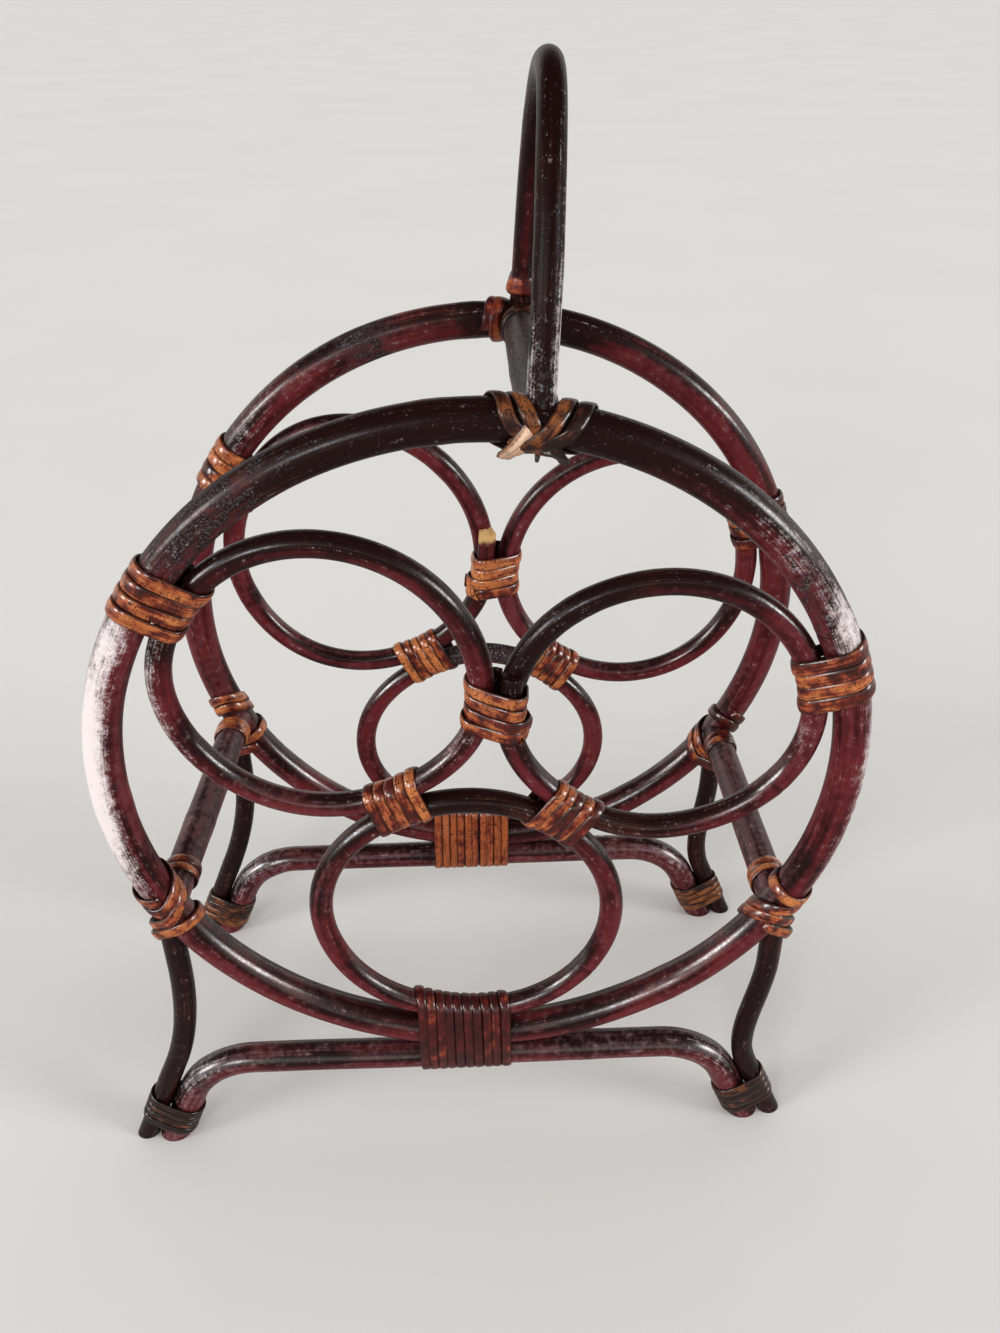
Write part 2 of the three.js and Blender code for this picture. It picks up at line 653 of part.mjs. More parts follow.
function makeWraps(end) {
  const hoop = { points: end.hoopLine, radius: HOOP_CANE / 2 };
  const { leftLoop, rightLoop, lowerLoop, lapLine, stretcherLine, inward } = end;
  const hoopJoint = (degrees) => ({
    at: onHoop(end, degrees), along: tangent(degrees), across: spoke(degrees), inward,
  });
  const innerJoint = ({ angle, reach }) => ({
    at: stepFrom(end.knotPoint, [spoke(angle), reach]), along: spoke(angle), across: tangent(angle), inward,
  });
  const bottomJoint = {
    at: onHoop(end, end.wrapBottom), along: AXIS_X, across: AXIS_Z.clone().negate(), inward,
  };
  const wraps = [
    ['left_hoop_wrap', [hoop, leftLoop], hoopJoint(end.wrapLeft), STRIPS.hoopWrap, PEEL],
    ['right_hoop_wrap', [hoop, rightLoop], hoopJoint(end.wrapRight), STRIPS.hoopWrap, PEEL],
    ['centre_wrap', [leftLoop, rightLoop, lapLine], innerJoint(end.centre), STRIPS.centreWrap, PEEL],
    ['inner_left_wrap', [leftLoop, lowerLoop], innerJoint(end.innerLeft), STRIPS.innerWrap, PEEL],
    ['inner_right_wrap', [rightLoop, lowerLoop], innerJoint(end.innerRight), STRIPS.innerWrap, PEEL],
  ];
  wraps.forEach(([name, canes, joint, strip, look]) => {
    wind(`${end.name}_${name}`, evenWinding(canes, joint, strip), look);
  });
  const three = [hoop, lowerLoop, stretcherLine];
  const bottom = evenWinding(three, bottomJoint, STRIPS.bottomWrap, LASHING_SEAT);
  wind(`${end.name}_bottom_wrap`, bottom, PEEL_RED);
  end.feet.forEach((foot, i) => {
    const at = stepFrom(foot.floor, [foot.up, FOOT_WRAP_HEIGHT]);
    const joint = { at, along: foot.up, across: foot.out, inward };
    const name = `${end.name}_${['left', 'right'][i]}_foot_wrap`;
    wind(name, evenWinding([end.legLines[i], stretcherLine], joint, STRIPS.footWrap), PEEL_DARK);
  });
}

// Smooth course through distances given every quarter turn.
function quarterCourse(distances, firstTurn) {
  const curve = new THREE.CatmullRomCurve3(distances.map((d, i) => new THREE.Vector3(i, d, 0)));
  return (turn) => {
    const t = ((turn - firstTurn) * 4) / (distances.length - 1);
    return curve.getPoint(Math.min(Math.max(t, 0), 1)).y;
  };
}

// A lashing whose turns part behind the hoop to pass a crosspiece on both sides, and part
// again on the hoop's outer edge where something stands on it.
function partedLashing(canes, joint, strip, behind, above) {
  const clear = (diameter) => (diameter ? (diameter + strip.width) / 2 + STRIP_ROOM : 0);
  const ranks = Array.from({ length: strip.turns }, (_, i) => i - (strip.turns - 1) / 2);
  const fan = (rank, room) => {
    const side = Math.sign(rank);
    return side * Math.max(Math.abs(rank) * strip.pitch, room + (Math.abs(rank) - 0.5) * strip.pitch);
  };
  const rounds = ranks.map((rank) => {
    const front = rank * strip.pitch;
    const back = fan(rank, clear(behind));
    return { front, back, top: above ? fan(rank, clear(above)) : (front + back) / 2 };
  });
  const course = rounds.flatMap(({ front, top, back }, i) => {
    const next = rounds[i + 1];
    return next ? [front, top, back, (back + next.front) / 2] : [front, top, back];
  });
  const firstTurn = -0.25;
  return {
    canes, joint, strip, seat: LASHING_SEAT, steps: LASHING_STEPS, from: firstTurn,
    to: firstTurn + (course.length - 1) / 4, station: quarterCourse(course, firstTurn),
  };
}

// The front top lashing crosses over itself on the face of the hoop, under the handle's foot.
function crossedLashing(canes, joint, strip, behind, above) {
  const back = (behind + strip.width) / 2 + STRIP_ROOM;
  const top = (above + strip.width) / 2 + STRIP_ROOM;
  const step = strip.pitch;
  const course = [
    -back - step, -step / 2, top, back,
    back, -step / 2, -top - step, -back - step,
    -back, step / 2, top + step, back + step,
    back + step, step / 2, -top, -back,
  ];
  const firstTurn = -0.5;
  const climb = strip.thick + CROSSING_GAP;
  const rising = (turn) => {
    const phase = turn - Math.floor(turn);
    const odd = Math.round(turn + 0.25) % 2 !== 0;
    const onFace = Math.min(Math.max((0.25 - Math.abs(phase - 0.75)) / 0.12, 0), 1);
    return odd ? climb * onFace : 0;
  };
  return {
    canes, joint, strip, seat: STRIP_SEAT, steps: CROSS_STEPS, from: firstTurn,
    to: firstTurn + (course.length - 1) / 4, station: quarterCourse(course, firstTurn), lift: rising,
  };
}

function makeLashings(end) {
  const hoop = { points: end.hoopLine, radius: HOOP_CANE / 2 };
  const joint = (degrees) => ({
    at: onHoop(end, degrees), along: tangent(degrees), across: spoke(degrees), inward: end.inward,
  });
  [['left', end.railLeft], ['right', end.railRight]].forEach(([side, degrees], i) => {
    const winding = partedLashing([hoop, end.legLines[i]], joint(degrees), STRIPS.lashing, RAIL_CANE, 0);
    wind(`${end.name}_${side}_rail_lashing`, winding, PEEL);
  });
  const atTop = joint(end.top);
  const winding = end === front
    ? crossedLashing([hoop], atTop, STRIPS.cross, BAR_CANE, HANDLE_CANE)
    : partedLashing([hoop], atTop, STRIPS.lashing, BAR_CANE, HANDLE_CANE);
  wind(`${end.name}_top_lashing`, winding, PEEL_DARK);
}

// A collar goes round one cane, just clear of the lashing on the hoop.
function makeCollar(name, cane, hoopPoint, direction, distance) {
  const across = new THREE.Vector3().crossVectors(direction, AXIS_X).normalize();
  const joint = {
    at: stepFrom(hoopPoint, [direction, distance]),
    along: direction, across, inward: new THREE.Vector3().crossVectors(direction, across),
  };
  wind(name, evenWinding([cane], joint, STRIPS.collar), PEEL);
}

function makeCollars(rails, handle) {
  const strip = STRIPS.collar;
  const lashingFace = HOOP_CANE / 2 + LASHING_SEAT + STRIPS.lashing.thick;
  const distance = lashingFace + 3 * SEAT + ((strip.turns + 1) * strip.pitch) / 2;
  rails.forEach(({ cane, side }) => {
    ends.forEach((end, i) => {
      const direction = cane.points[1 - i].clone().sub(cane.points[i]).normalize();
      makeCollar(`${end.name}_${side}_rail_collar`, cane, cane.points[i], direction, distance);
    });
  });
  const [last, before] = [handle.points.length - 1, handle.points.length - 4];
  const upwards = handle.points[before].clone().sub(handle.points[last]).normalize();
  makeCollar('handle_collar', handle, handle.points[last], upwards, distance);
}

// Assembly

const front = buildEnd(FRONT);
const rear = buildEnd(REAR);
const ends = [front, rear];

ends.forEach((end) => {
  end.feet = [footOf(end, -1), footOf(end, 1)];
  makeStretcher(end);
  makeLoops(end);
  end.legLines = ['left', 'right'].map((sideName, i) => makeLeg(end, end.feet[i], sideName));
});

const leftRail = makeCrosspiece({
  name: 'left_rail', angles: ends.map((end) => end.railLeft), diameter: RAIL_CANE, look: DUSTY,
  seats: ends.map((end) => end.legLines[0].seat),
});
const rightRail = makeCrosspiece({
  name: 'right_rail', angles: ends.map((end) => end.railRight), diameter: RAIL_CANE, look: DUSTY,
  seats: ends.map((end) => end.legLines[1].seat),
});
const handle = makeHandle();
makeCrosspiece({
  name: 'top_bar', angles: ends.map((end) => end.top), diameter: BAR_CANE, look: GREY,
  seats: [handle.seat], nailOffset: -NAIL_STEP,
});

ends.forEach((end) => {
  makeHoop(end);
  makeWraps(end);
  makeLashings(end);
});
makeCollars([{ cane: leftRail, side: 'left' }, { cane: rightRail, side: 'right' }], handle);

// The origin is on the floor, at the middle of the rack's outline.
const box = new THREE.Box3().setFromObject(rack);
const middle = box.getCenter(new THREE.Vector3());
rack.position.set(-middle.x, -middle.y, -box.min.z);

export default rack;
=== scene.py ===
"""Looks of a rattan wine rack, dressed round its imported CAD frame.

Two hoop frames with three bottle loops each stand on bent feet. Rails, a bar and an arched
handle join them, and strips of rattan peel bind every joint. Lengths are in millimetres until a
mesh is made, and in metres from there on. The front frame is towards -Y.
"""

import logging
import math
from dataclasses import dataclass, field
from enum import Enum
from typing import Callable, Optional, Sequence, Union

import bmesh
import bpy
import numpy as np
from mathutils import Matrix, Vector, noise


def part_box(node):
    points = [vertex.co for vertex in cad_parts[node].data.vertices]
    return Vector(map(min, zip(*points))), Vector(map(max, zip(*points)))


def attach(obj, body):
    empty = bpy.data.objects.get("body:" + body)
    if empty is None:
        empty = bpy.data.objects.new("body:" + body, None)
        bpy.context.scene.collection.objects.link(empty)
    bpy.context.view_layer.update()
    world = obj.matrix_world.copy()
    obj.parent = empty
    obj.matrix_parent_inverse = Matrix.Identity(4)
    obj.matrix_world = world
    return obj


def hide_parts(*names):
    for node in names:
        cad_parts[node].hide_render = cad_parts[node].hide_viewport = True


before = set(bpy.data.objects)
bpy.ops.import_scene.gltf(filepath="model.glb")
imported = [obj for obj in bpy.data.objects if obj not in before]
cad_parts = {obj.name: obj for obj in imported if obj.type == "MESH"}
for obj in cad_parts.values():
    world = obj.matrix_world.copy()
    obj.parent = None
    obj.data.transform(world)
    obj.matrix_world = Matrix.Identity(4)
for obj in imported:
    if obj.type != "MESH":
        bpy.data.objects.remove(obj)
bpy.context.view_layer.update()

log = logging.getLogger("rack")

MM = 0.001
TAU = 2 * math.pi
Array = np.ndarray
Colour = tuple[float, float, float, float]
Key = Union[str, int]
Span = tuple[float, float, float]
Operand = Union["Wire", float]

AXIS_X = np.array([1.0, 0.0, 0.0])
AXIS_Y = np.array([0.0, 1.0, 0.0])
AXIS_Z = np.array([0.0, 0.0, 1.0])


# Colours and shader maths


def paint(code: str) -> Colour:
    """Turn a web colour into the linear colour that shaders use.

    Args:
        code: Six hexadecimal digits.

    Returns:
        Linear red, green and blue, and an alpha of 1.
    """
    parts = [int(code[i : i + 2], 16) / 255 for i in (0, 2, 4)]
    linear = [p / 12.92 if p <= 0.04045 else ((p + 0.055) / 1.055) ** 2.4 for p in parts]
    return (linear[0], linear[1], linear[2], 1.0)


class Wire:
    """One output socket of a node, on which number maths is written as an expression."""

    def __init__(self, sheet: "Sheet", socket: bpy.types.NodeSocket) -> None:
        """Keep the socket and the sheet that it is on."""
        self.sheet = sheet
        self.socket = socket

    def _math(self, operation: str, *values: Operand) -> "Wire":
        """Add one Math node.

        Args:
            operation: Blender's name of the operation.
            values: Its inputs in order.

        Returns:
            The node's result.
        """
        return self.sheet.node("ShaderNodeMath", {"operation": operation}, dict(enumerate(values)))

    def __add__(self, other: Operand) -> "Wire":
        """Add."""
        return self._math("ADD", self, other)

    __radd__ = __add__

    def __mul__(self, other: Operand) -> "Wire":
        """Multiply."""
        return self._math("MULTIPLY", self, other)

    __rmul__ = __mul__

    def __sub__(self, other: Operand) -> "Wire":
        """Subtract."""
        return self._math("SUBTRACT", self, other)

    def __rsub__(self, other: float) -> "Wire":
        """Subtract this from a number."""
        return self._math("SUBTRACT", other, self)

    def between(self, low: float, high: float) -> "Wire":
        """Go smoothly from 0 at low to 1 at high.

        Args:
            low: Where the result leaves 0.
            high: Where the result reaches 1.

        Returns:
            The share.
        """
        settings = {"interpolation_type": "SMOOTHSTEP"}
        values: dict[Key, object] = {"Value": self, "From Min": low, "From Max": high}
        return self.sheet.node("ShaderNodeMapRange", settings, values, "Result")


@dataclass(frozen=True)
class Grain:
    """A noise: its features per metre, on every axis or axis by axis, and its finer layers."""

    scale: Union[float, Span]
    detail: float = 3.0


class Sheet:
    """The node tree of one material, or of the world."""

    def __init__(self, owner: Union[bpy.types.Material, bpy.types.World]) -> None:
        """Empty the tree.

        Args:
            owner: The material or world.
        """
        owner.use_nodes = True
        self.owner = owner
        self.tree = owner.node_tree
        self.tree.nodes.clear()

    def node(
        self,
        kind: str,
        settings: dict[str, object],
        values: dict[Key, object],
        output: Key = 0,
    ) -> Wire:
        """Add a node.

        Args:
            kind: Blender's type of node.
            settings: Properties, which are set first.
            values: Numbers or wires for its inputs, by name or index.
            output: The name or index of the output to return.

        Returns:
            That output.
        """
        made = self.tree.nodes.new(kind)
        for key, value in settings.items():
            setattr(made, key, value)
        for key, value in values.items():
            if isinstance(value, Wire):
                self.tree.links.new(value.socket, made.inputs[key])
            else:
                made.inputs[key].default_value = value
        return Wire(self, made.outputs[output])

    def carried(self, name: str, output: str = "Fac") -> Wire:
        """Read a value that the mesh carries."""
        return self.node("ShaderNodeAttribute", {"attribute_name": name}, {}, output)

    def upward(self) -> Wire:
        """Read how far the surface faces up, from -1 to 1."""
        facing = self.node("ShaderNodeNewGeometry", {}, {}, "Normal")
        return self.node("ShaderNodeSeparateXYZ", {}, {0: facing}, "Z")

    def grain(self, vector: Wire, grain: Grain) -> Wire:
        """Read a noise.

        Args:
            vector: The place that it is read at.
            grain: Which noise.

        Returns:
            The noise, from 0 to 1.
        """
        scale = grain.scale
        if isinstance(scale, tuple):
            factors: dict[Key, object] = {0: vector, 1: scale}
            vector = self.node("ShaderNodeVectorMath", {"operation": "MULTIPLY"}, factors)
            scale = 1.0
        values: dict[Key, object] = {"Vector": vector, "Scale": scale, "Detail": grain.detail}
        return self.node("ShaderNodeTexNoise", {}, values, "Fac")

    def blend(self, share: Operand, first: object, second: object) -> Wire:
        """Mix two colours.

        Args:
            share: How much of the second.
            first: A colour or a wire.
            second: A colour or a wire.

        Returns:
            The mixed colour.
        """
        values: dict[Key, object] = {0: share, 6: first, 7: second}
        return self.node("ShaderNodeMix", {"data_type": "RGBA"}, values, 2)

    def layered(self, base: object, layers: Sequence[tuple[Operand, object]]) -> Wire:
        """Lay colours over each other.

        Args:
            base: The lowest colour.
            layers: The share and colour of each layer, from the lowest up.

        Returns:
            The colour on top.
        """
        for share, colour in layers:
            base = self.blend(share, base, colour)
        return base

    def bump(self, height: Wire, distance: float, under: Optional[Wire] = None) -> Wire:
        """Turn a height into a normal.

        Args:
            height: The height, about 0 to 1.
            distance: How far 1 stands out, in metres.
            under: A normal that it is added to, if any.

        Returns:
            The normal.
        """
        values: dict[Key, object] = {"Height": height, "Distance": distance, "Strength": 1.0}
        if under is not None:
            values["Normal"] = under
        return self.node("ShaderNodeBump", {}, values, "Normal")

    def close(self, values: dict[Key, object]) -> bpy.types.Material:
        """Finish a material with a Principled surface.

        Args:
            values: The surface's inputs.

        Returns:
            The finished material.
        """
        surface = self.node("ShaderNodeBsdfPrincipled", {}, values, "BSDF")
        self.end("ShaderNodeOutputMaterial", surface)
        return self.owner

    def end(self, kind: str, surface: Wire) -> None:
        """Join a surface to an output node of that kind."""
        made = self.tree.nodes.new(kind)
        self.tree.links.new(surface.socket, made.inputs["Surface"])


# Finishes


class Slot(Enum):
    """The record's material slots."""

    FRAME = "frame_cane"
    FOOT = "foot_cane"
    RAIL = "rail_cane"
    BAR = "bar_cane"
    PEEL = "peel"
    PEEL_DARK = "peel_dark"
    PEEL_RED = "peel_red"
    NAIL = "nail_steel"


# Noises of the finishes. Canes and strips carry their place as if straight, along the first axis
CANE_FIBRE = Grain((40.0, 1500.0, 1500.0), 4.0)
CANE_STREAK = Grain((12.0, 300.0, 300.0))
CANE_CRUST = Grain((130.0, 300.0, 300.0), 7.0)
CANE_CLOUD = Grain(28.0)
CANE_MOTTLE = Grain(330.0, 5.0)
PEEL_FIBRE = Grain((110.0, 3200.0, 3200.0))
PEEL_BAND = Grain((60.0, 900.0, 900.0))
PEEL_NICK = Grain((900.0, 330.0, 330.0), 2.0)
PEEL_CLOUD = Grain(160.0)
FLECK = Grain(1300.0)
RUST = Grain(700.0)
PAPER_CLOUD = Grain(3.0)


@dataclass(frozen=True)
class Lacquer:
    """Dark glossy lacquer over stained cane, dusty and chipped where it is worn, with painted shade
    and painted highlights laid on as colour.
    """

    deep: Colour
    warm: Colour
    dust: Colour
    amber: Colour = paint("84482a")
    scab: Colour = paint("1d1718")
    flaked: Colour = paint("776d70")
    # Colour of the painted highlights
    painted_highlights: Colour = paint("efe4e4")
    bare: Colour = paint("e0bd86")
    core: Colour = paint("a8743f")
    # Colour of the painted shade
    painted_shade_colour: Colour = paint("190808")
    warmth: float = 0.0
    dusting: float = 0.0
    gloss: float = 1.0
    groove: float = 0.0
    fibre_depth: float = 0.0003
    chip_depth: float = 0.00028
    coat_rough: float = 0.22
    coat_ior: float = 1.85

    def make(self, name: str) -> bpy.types.Material:
        """Make the material.

        Args:
            name: Its name.

        Returns:
            The material.
        """
        sheet = Sheet(bpy.data.materials.new(name))
        straight = sheet.carried("straight", "Vector")
        wear = sheet.carried("wear")
        soot = sheet.carried("soot")
        cut = sheet.carried("cut")
        rub = sheet.carried("rub")
        noises = (CANE_FIBRE, CANE_STREAK, CANE_CLOUD, CANE_MOTTLE, FLECK, CANE_CRUST)
        fibre, streak, cloud, mottle, fleck, crust = (sheet.grain(straight, g) for g in noises)
        rise = sheet.upward()
        upward = rise.between(-0.05, 0.4)
        facing = sheet.node("ShaderNodeLayerWeight", {}, {"Blend": 0.5}, "Facing")
        rim = facing.between(0.4, 0.95) * sheet.carried("rim")

        # Only what faces up a little is glossy: the rest would mirror the pale floor
        sheen = rise.between(0.32, 0.48) * (1.0 - facing.between(0.45, 0.9) * 0.75)
        grit = (mottle * 0.45 + fleck * 0.55).between(0.42, 0.55)

        # Two reds, amber glints, and a film of dust. The warm red is painted thinner on upward
        # faces and under painted shade, so tops look shaded
        warm = (cloud * 0.8 + streak * 0.9 + mottle * 0.35 - upward * 0.22 - soot * 0.6).between(
            0.68 - self.warmth, 1.12 - self.warmth
        )
        glow = (fibre * 0.5 + cloud * 0.5).between(0.54, 0.66)
        film = (streak * 0.5 + mottle * 0.5 + wear * 0.2 - soot * 0.3).between(0.5, 0.68)

        # Chips with dark and pale scales, pale specks that are partly dust nibs and partly painted
        # glints, and the dark rings of the cane's joints
        scabby = wear.between(0.4, 1.4) * mottle.between(0.4, 0.6) * 0.55
        flake = (crust * 0.9 + fleck * 0.1 + wear * 0.19).between(0.725, 0.76)
        shard = sheet.blend(fleck.between(0.48, 0.6) * 0.4, self.scab, self.flaked)
        nib_and_glint = (fleck + wear * 0.05).between(0.74, 0.77)
        dark = sheet.carried("ring") * 0.7
        if self.groove:
            dark = dark + sheet.carried("groove") * self.groove

        # Painted highlights: pale patches laid on as colour where lamps would glint
        pale = (rub + fibre * 1.1 + fleck + mottle * 1.1).between(1.8, 2.8)
        layers = (
            (warm, self.warm),
            (glow * 0.25, self.amber),
            (film * (0.1 + self.dusting), self.dust),
            (scabby, self.scab),
            (flake * 0.8, shard),
            (nib_and_glint * 0.6, self.flaked),
            (dark, self.deep),
            # Painted shade: near-black laid over the stretches given to each cane
            (soot * 0.8, self.painted_shade_colour),
            (pale * 0.9, self.painted_highlights),
            (cut, sheet.blend(mottle, self.bare, self.core)),
        )
        normal = sheet.bump(fibre * 0.4 + streak * 0.8, self.fibre_depth)
        normal = sheet.bump(mottle * 0.5 + fleck * 0.4 + flake * 0.45, self.chip_depth, normal)
        return sheet.close(
            {
                "Base Color": sheet.layered(self.deep, layers),
                "Roughness": 0.34 + film * 0.16 + flake * 0.25 + cut * 0.3,
                "Normal": normal,
                "Specular IOR Level": 0.08,
                "Coat Weight": (1.0 - cut)
                * (1.0 - grit * 0.5)
                * (1.0 - soot * 0.9)
                * (1.0 - wear.between(0.4, 1.2) * 0.6)
                * (cloud.between(0.3, 0.6) * 0.4 + 0.6)
                * (sheen * 0.97 + rim + 0.01)
                * self.gloss,
                "Coat Roughness": self.coat_rough,
                "Coat IOR": self.coat_ior,
            }
        )


@dataclass(frozen=True)
class Peel:
    """Stained and varnished strips of rattan peel."""

    tan: Colour
    red: Colour
    dark: Colour
    faded: Colour = paint("e6c8ae")
    gloss: float = 1.0
    relief: float = 0.00035
    coat_rough: float = 0.2
    coat_ior: float = 1.8

    def make(self, name: str) -> bpy.types.Material:
        """Make the material.

        Args:
            name: Its name.

        Returns:
            The material.
        """
        sheet = Sheet(bpy.data.materials.new(name))
        straight = sheet.carried("straight", "Vector")
        tone = sheet.carried("tone")
        edge = sheet.carried("edge")
        noises = (PEEL_FIBRE, PEEL_BAND, PEEL_CLOUD, FLECK, PEEL_NICK)
        fibre, band, cloud, speck, nick = (sheet.grain(straight, g) for g in noises)

        # Stain from tan over red to dark, faded on some strips
        stained = (cloud * 1.4 + band * 0.9 + tone * 0.55).between(1.1, 1.65)
        deepened = (stained + cloud * 0.9 + fibre * 0.5 + tone * 0.2).between(1.5, 2.15)
        fading = tone.between(-0.2, -0.9) * band.between(0.3, 0.6)

        # Nicks across, cracks along, specks, and painted shade darkening the strips' edges and
        # undersides in the seams between turns
        layers = (
            (stained, self.red),
            (deepened, self.dark),
            (fading, self.faded),
            (nick.between(0.6, 0.66) * (0.75 - fading * 0.6), self.dark),
            (fibre.between(0.45, 0.35) * (0.6 - fading * 0.4), self.dark),
            (speck.between(0.56, 0.66) * (0.8 - fading * 0.6), self.dark),
            (edge.between(0.6, 1.0) * 0.9, self.dark),
        )
        sheen = sheet.upward().between(0.26, 0.45)
        normal = sheet.bump(fibre * 0.7 + band * 0.6 + speck * 0.3, self.relief)
        return sheet.close(
            {
                "Base Color": sheet.layered(self.tan, layers),
                "Roughness": 0.3 + fibre * 0.16,
                "Normal": normal,
                "Specular IOR Level": 0.15,
                "Coat Weight": (sheen * 0.9 + 0.1) * (1.2 - speck) * self.gloss,
                "Coat Roughness": self.coat_rough,
                "Coat IOR": self.coat_ior,
            }
        )


@dataclass(frozen=True)
class Steel:
    """Dull wire nails, browned by varnish."""

    bright: Colour
    brown: Colour

    def make(self, name: str) -> bpy.types.Material:
        """Make the material.

        Args:
            name: Its name.

        Returns:
            The material.
        """
        sheet = Sheet(bpy.data.materials.new(name))
        place = sheet.node("ShaderNodeTexCoord", {}, {}, "Object")
        rust = sheet.grain(place, RUST).between(0.4, 0.6)
        colour = sheet.blend(rust, self.bright, self.brown)
        return sheet.close(
            {"Base Color": colour, "Metallic": 1.0 - rust, "Roughness": 0.35 + rust * 0.35}
        )


@dataclass(frozen=True)
class Paper:
    """The pale, faintly mottled paper that the rack stands on."""

    pale: Colour
    shade: Colour

    def make(self, name: str) -> bpy.types.Material:
        """Make the material.

        Args:
            name: Its name.

        Returns:
            The material.
        """
        sheet = Sheet(bpy.data.materials.new(name))
        place = sheet.node("ShaderNodeTexCoord", {}, {}, "Object")
        colour = sheet.blend(sheet.grain(place, PAPER_CLOUD), self.pale, self.shade)
        return sheet.close({"Base Color": colour, "Roughness": 0.85})


DUST = paint("7d6468")
FINISHES: dict[Slot, Union[Lacquer, Peel, Steel]] = {
    Slot.FRAME: Lacquer(paint("1e090a"), paint("5e1d22"), DUST),
    Slot.FOOT: Lacquer(paint("1e0c0e"), paint("5c2226"), DUST, dusting=0.22),
    Slot.RAIL: Lacquer(paint("2a1416"), paint("5e2b2d"), DUST, dusting=0.25, gloss=0.4),
    Slot.BAR: Lacquer(
        paint("161313"), paint("3a3231"), paint("5d5553"), warmth=0.1, gloss=0.15, groove=0.9
    ),
    Slot.PEEL: Peel(paint("c4743f"), paint("7a2013"), paint("220a06")),
    Slot.PEEL_DARK: Peel(paint("8c5028"), paint("3c170f"), paint("140705"), gloss=0.65),
    Slot.PEEL_RED: Peel(paint("a4542a"), paint("6a1a16"), paint("2c0b0b"), gloss=0.7),
    Slot.NAIL: Steel(paint("6e6a68"), paint("3a2219")),
}


class Workshop:
    """Makes each finish once and dresses pieces with it."""

    def __init__(self) -> None:
        """Start with no finish made."""
        self._made: dict[Slot, bpy.types.Material] = {}

    def finish(self, slot: Slot) -> bpy.types.Material:
        """Give the material of a slot, made on its first use.

        Args:
            slot: The slot.

        Returns:
            The material.
        """
        if slot not in self._made:
            self._made[slot] = FINISHES[slot].make(slot.value)
        return self._made[slot]

    def dress(self, piece: bpy.types.Object, slot: Slot, node: Optional[str] = None) -> None:
        """Give a piece its finish and its body, and let it stand for a CAD node.

        Args:
            piece: The piece.
            slot: The finish.
            node: The CAD node that it stands for, if any.
        """
        piece.data.materials.clear()
        piece.data.materials.append(self.finish(slot))
        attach(piece, "root")
        if node is not None:
            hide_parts(node)
        log.info("%s: %d faces, %s", piece.name, len(piece.data.polygons), slot.value)


# Lines


def unit(vector: Array) -> Array:
    """Scale a vector, or each row of vectors, to length 1."""
    return vector / np.linalg.norm(vector, axis=-1, keepdims=True)


def spoke(degrees: float) -> Array:
    """Give the direction at an angle from +X towards +Z."""
    return np.array([math.cos(math.radians(degrees)), 0.0, math.sin(math.radians(degrees))])


def tangent(degrees: float) -> Array:
    """Give the direction along a ring at an angle."""
    return spoke(degrees + 90)


def straight_line(start: Array, end: Array) -> Array:
    """Give two points as a line."""
    return np.array([start, end])


def distances(points: Array) -> Array:
    """Give how far along a line each of its points is."""
    steps = np.linalg.norm(np.diff(points, axis=0), axis=1)
    return np.concatenate([[0], np.cumsum(steps)])


def bell(distance: Array, reach: float) -> Array:
    """Give 1 at no distance, falling smoothly to nearly 0 at twice the reach."""
    return np.exp(-((distance / reach) ** 2))


def cubic(a: Array, b: Array, c: Array, d: Array, count: int = 60) -> Array:
    """Sample a Bezier curve.

    Args:
        a: Start.
        b: First handle.
        c: Second handle.
        d: End.
        count: Steps.

    Returns:
        Points along it.
    """
    t = np.linspace(0, 1, count + 1)[:, None]
    return (1 - t) ** 3 * a + 3 * t * (1 - t) ** 2 * b + 3 * t**2 * (1 - t) * c + t**3 * d


@dataclass(frozen=True)
class Pass:
    """A point that a cane passes, and its heading there."""

    at: Array
    heading: Array


def bend(start: Pass, end: Pass, fullness: float = 1.0) -> Array:
    """Sample a bend.

    Args:
        start: Where it starts.
        end: Where it ends.
        fullness: 1 for a bend as near to a circular arc as its ends and headings allow.

    Returns:
        Points along it.
    """
    turn = math.acos(float(np.clip(np.dot(start.heading, end.heading), -1, 1)))
    radius = float(np.linalg.norm(end.at - start.at)) / (2 * math.sin(turn / 2))
    reach = 4 / 3 * math.tan(turn / 4) * radius * fullness
    return cubic(start.at, start.at + start.heading * reach, end.at - end.heading * reach, end.at)


def joined(*parts: Array) -> Array:
    """Join lines that meet end to end."""
    return np.concatenate([parts[0], *(part[1:] for part in parts[1:])])


def resampled(points: Array, spacing: float) -> Array:
    """Give points at even distances along a line.

    Args:
        points: The line.
        spacing: About how far apart.

    Returns:
        The new points.
    """
    along = distances(points)
    count = max(2, round(along[-1] / spacing))
    wanted = np.linspace(0, along[-1], count + 1)
    return np.stack([np.interp(wanted, along, points[:, i]) for i in range(3)], axis=1)


def sway(position: float, seed: float, wave: float) -> float:
    """Give a smooth random number between about -1 and 1 that depends on a position."""
    return noise.noise(Vector((position / wave, seed * 7.31, seed * 3.17)))


def seed_of(name: str, kinds: int, step: float) -> float:
    """Give a seed that depends on a piece's name."""
    return (sum(map(ord, name)) % kinds) * step


# Length over which a wandering line comes back to its own ends
HELD_END = 20.0


def wobbled(points: Array, seed: float, amount: float, wave: float = 55.0) -> Array:
    """Let a line wander a little, as cane bent by hand does, with its ends held.

    Args:
        points: The line.
        seed: Which wander.
        amount: How far, in millimetres.
        wave: Over what length it comes and goes.

    Returns:
        The wandering line.
    """
    along = distances(points)
    held = np.clip(np.minimum(along, along[-1] - along) / HELD_END, 0, 1)
    drift = np.array([[sway(s, seed + k, wave) for k in (0.1, 0.5, 0.9)] for s in along])
    return points + drift * (held * amount)[:, None]


# Meshes


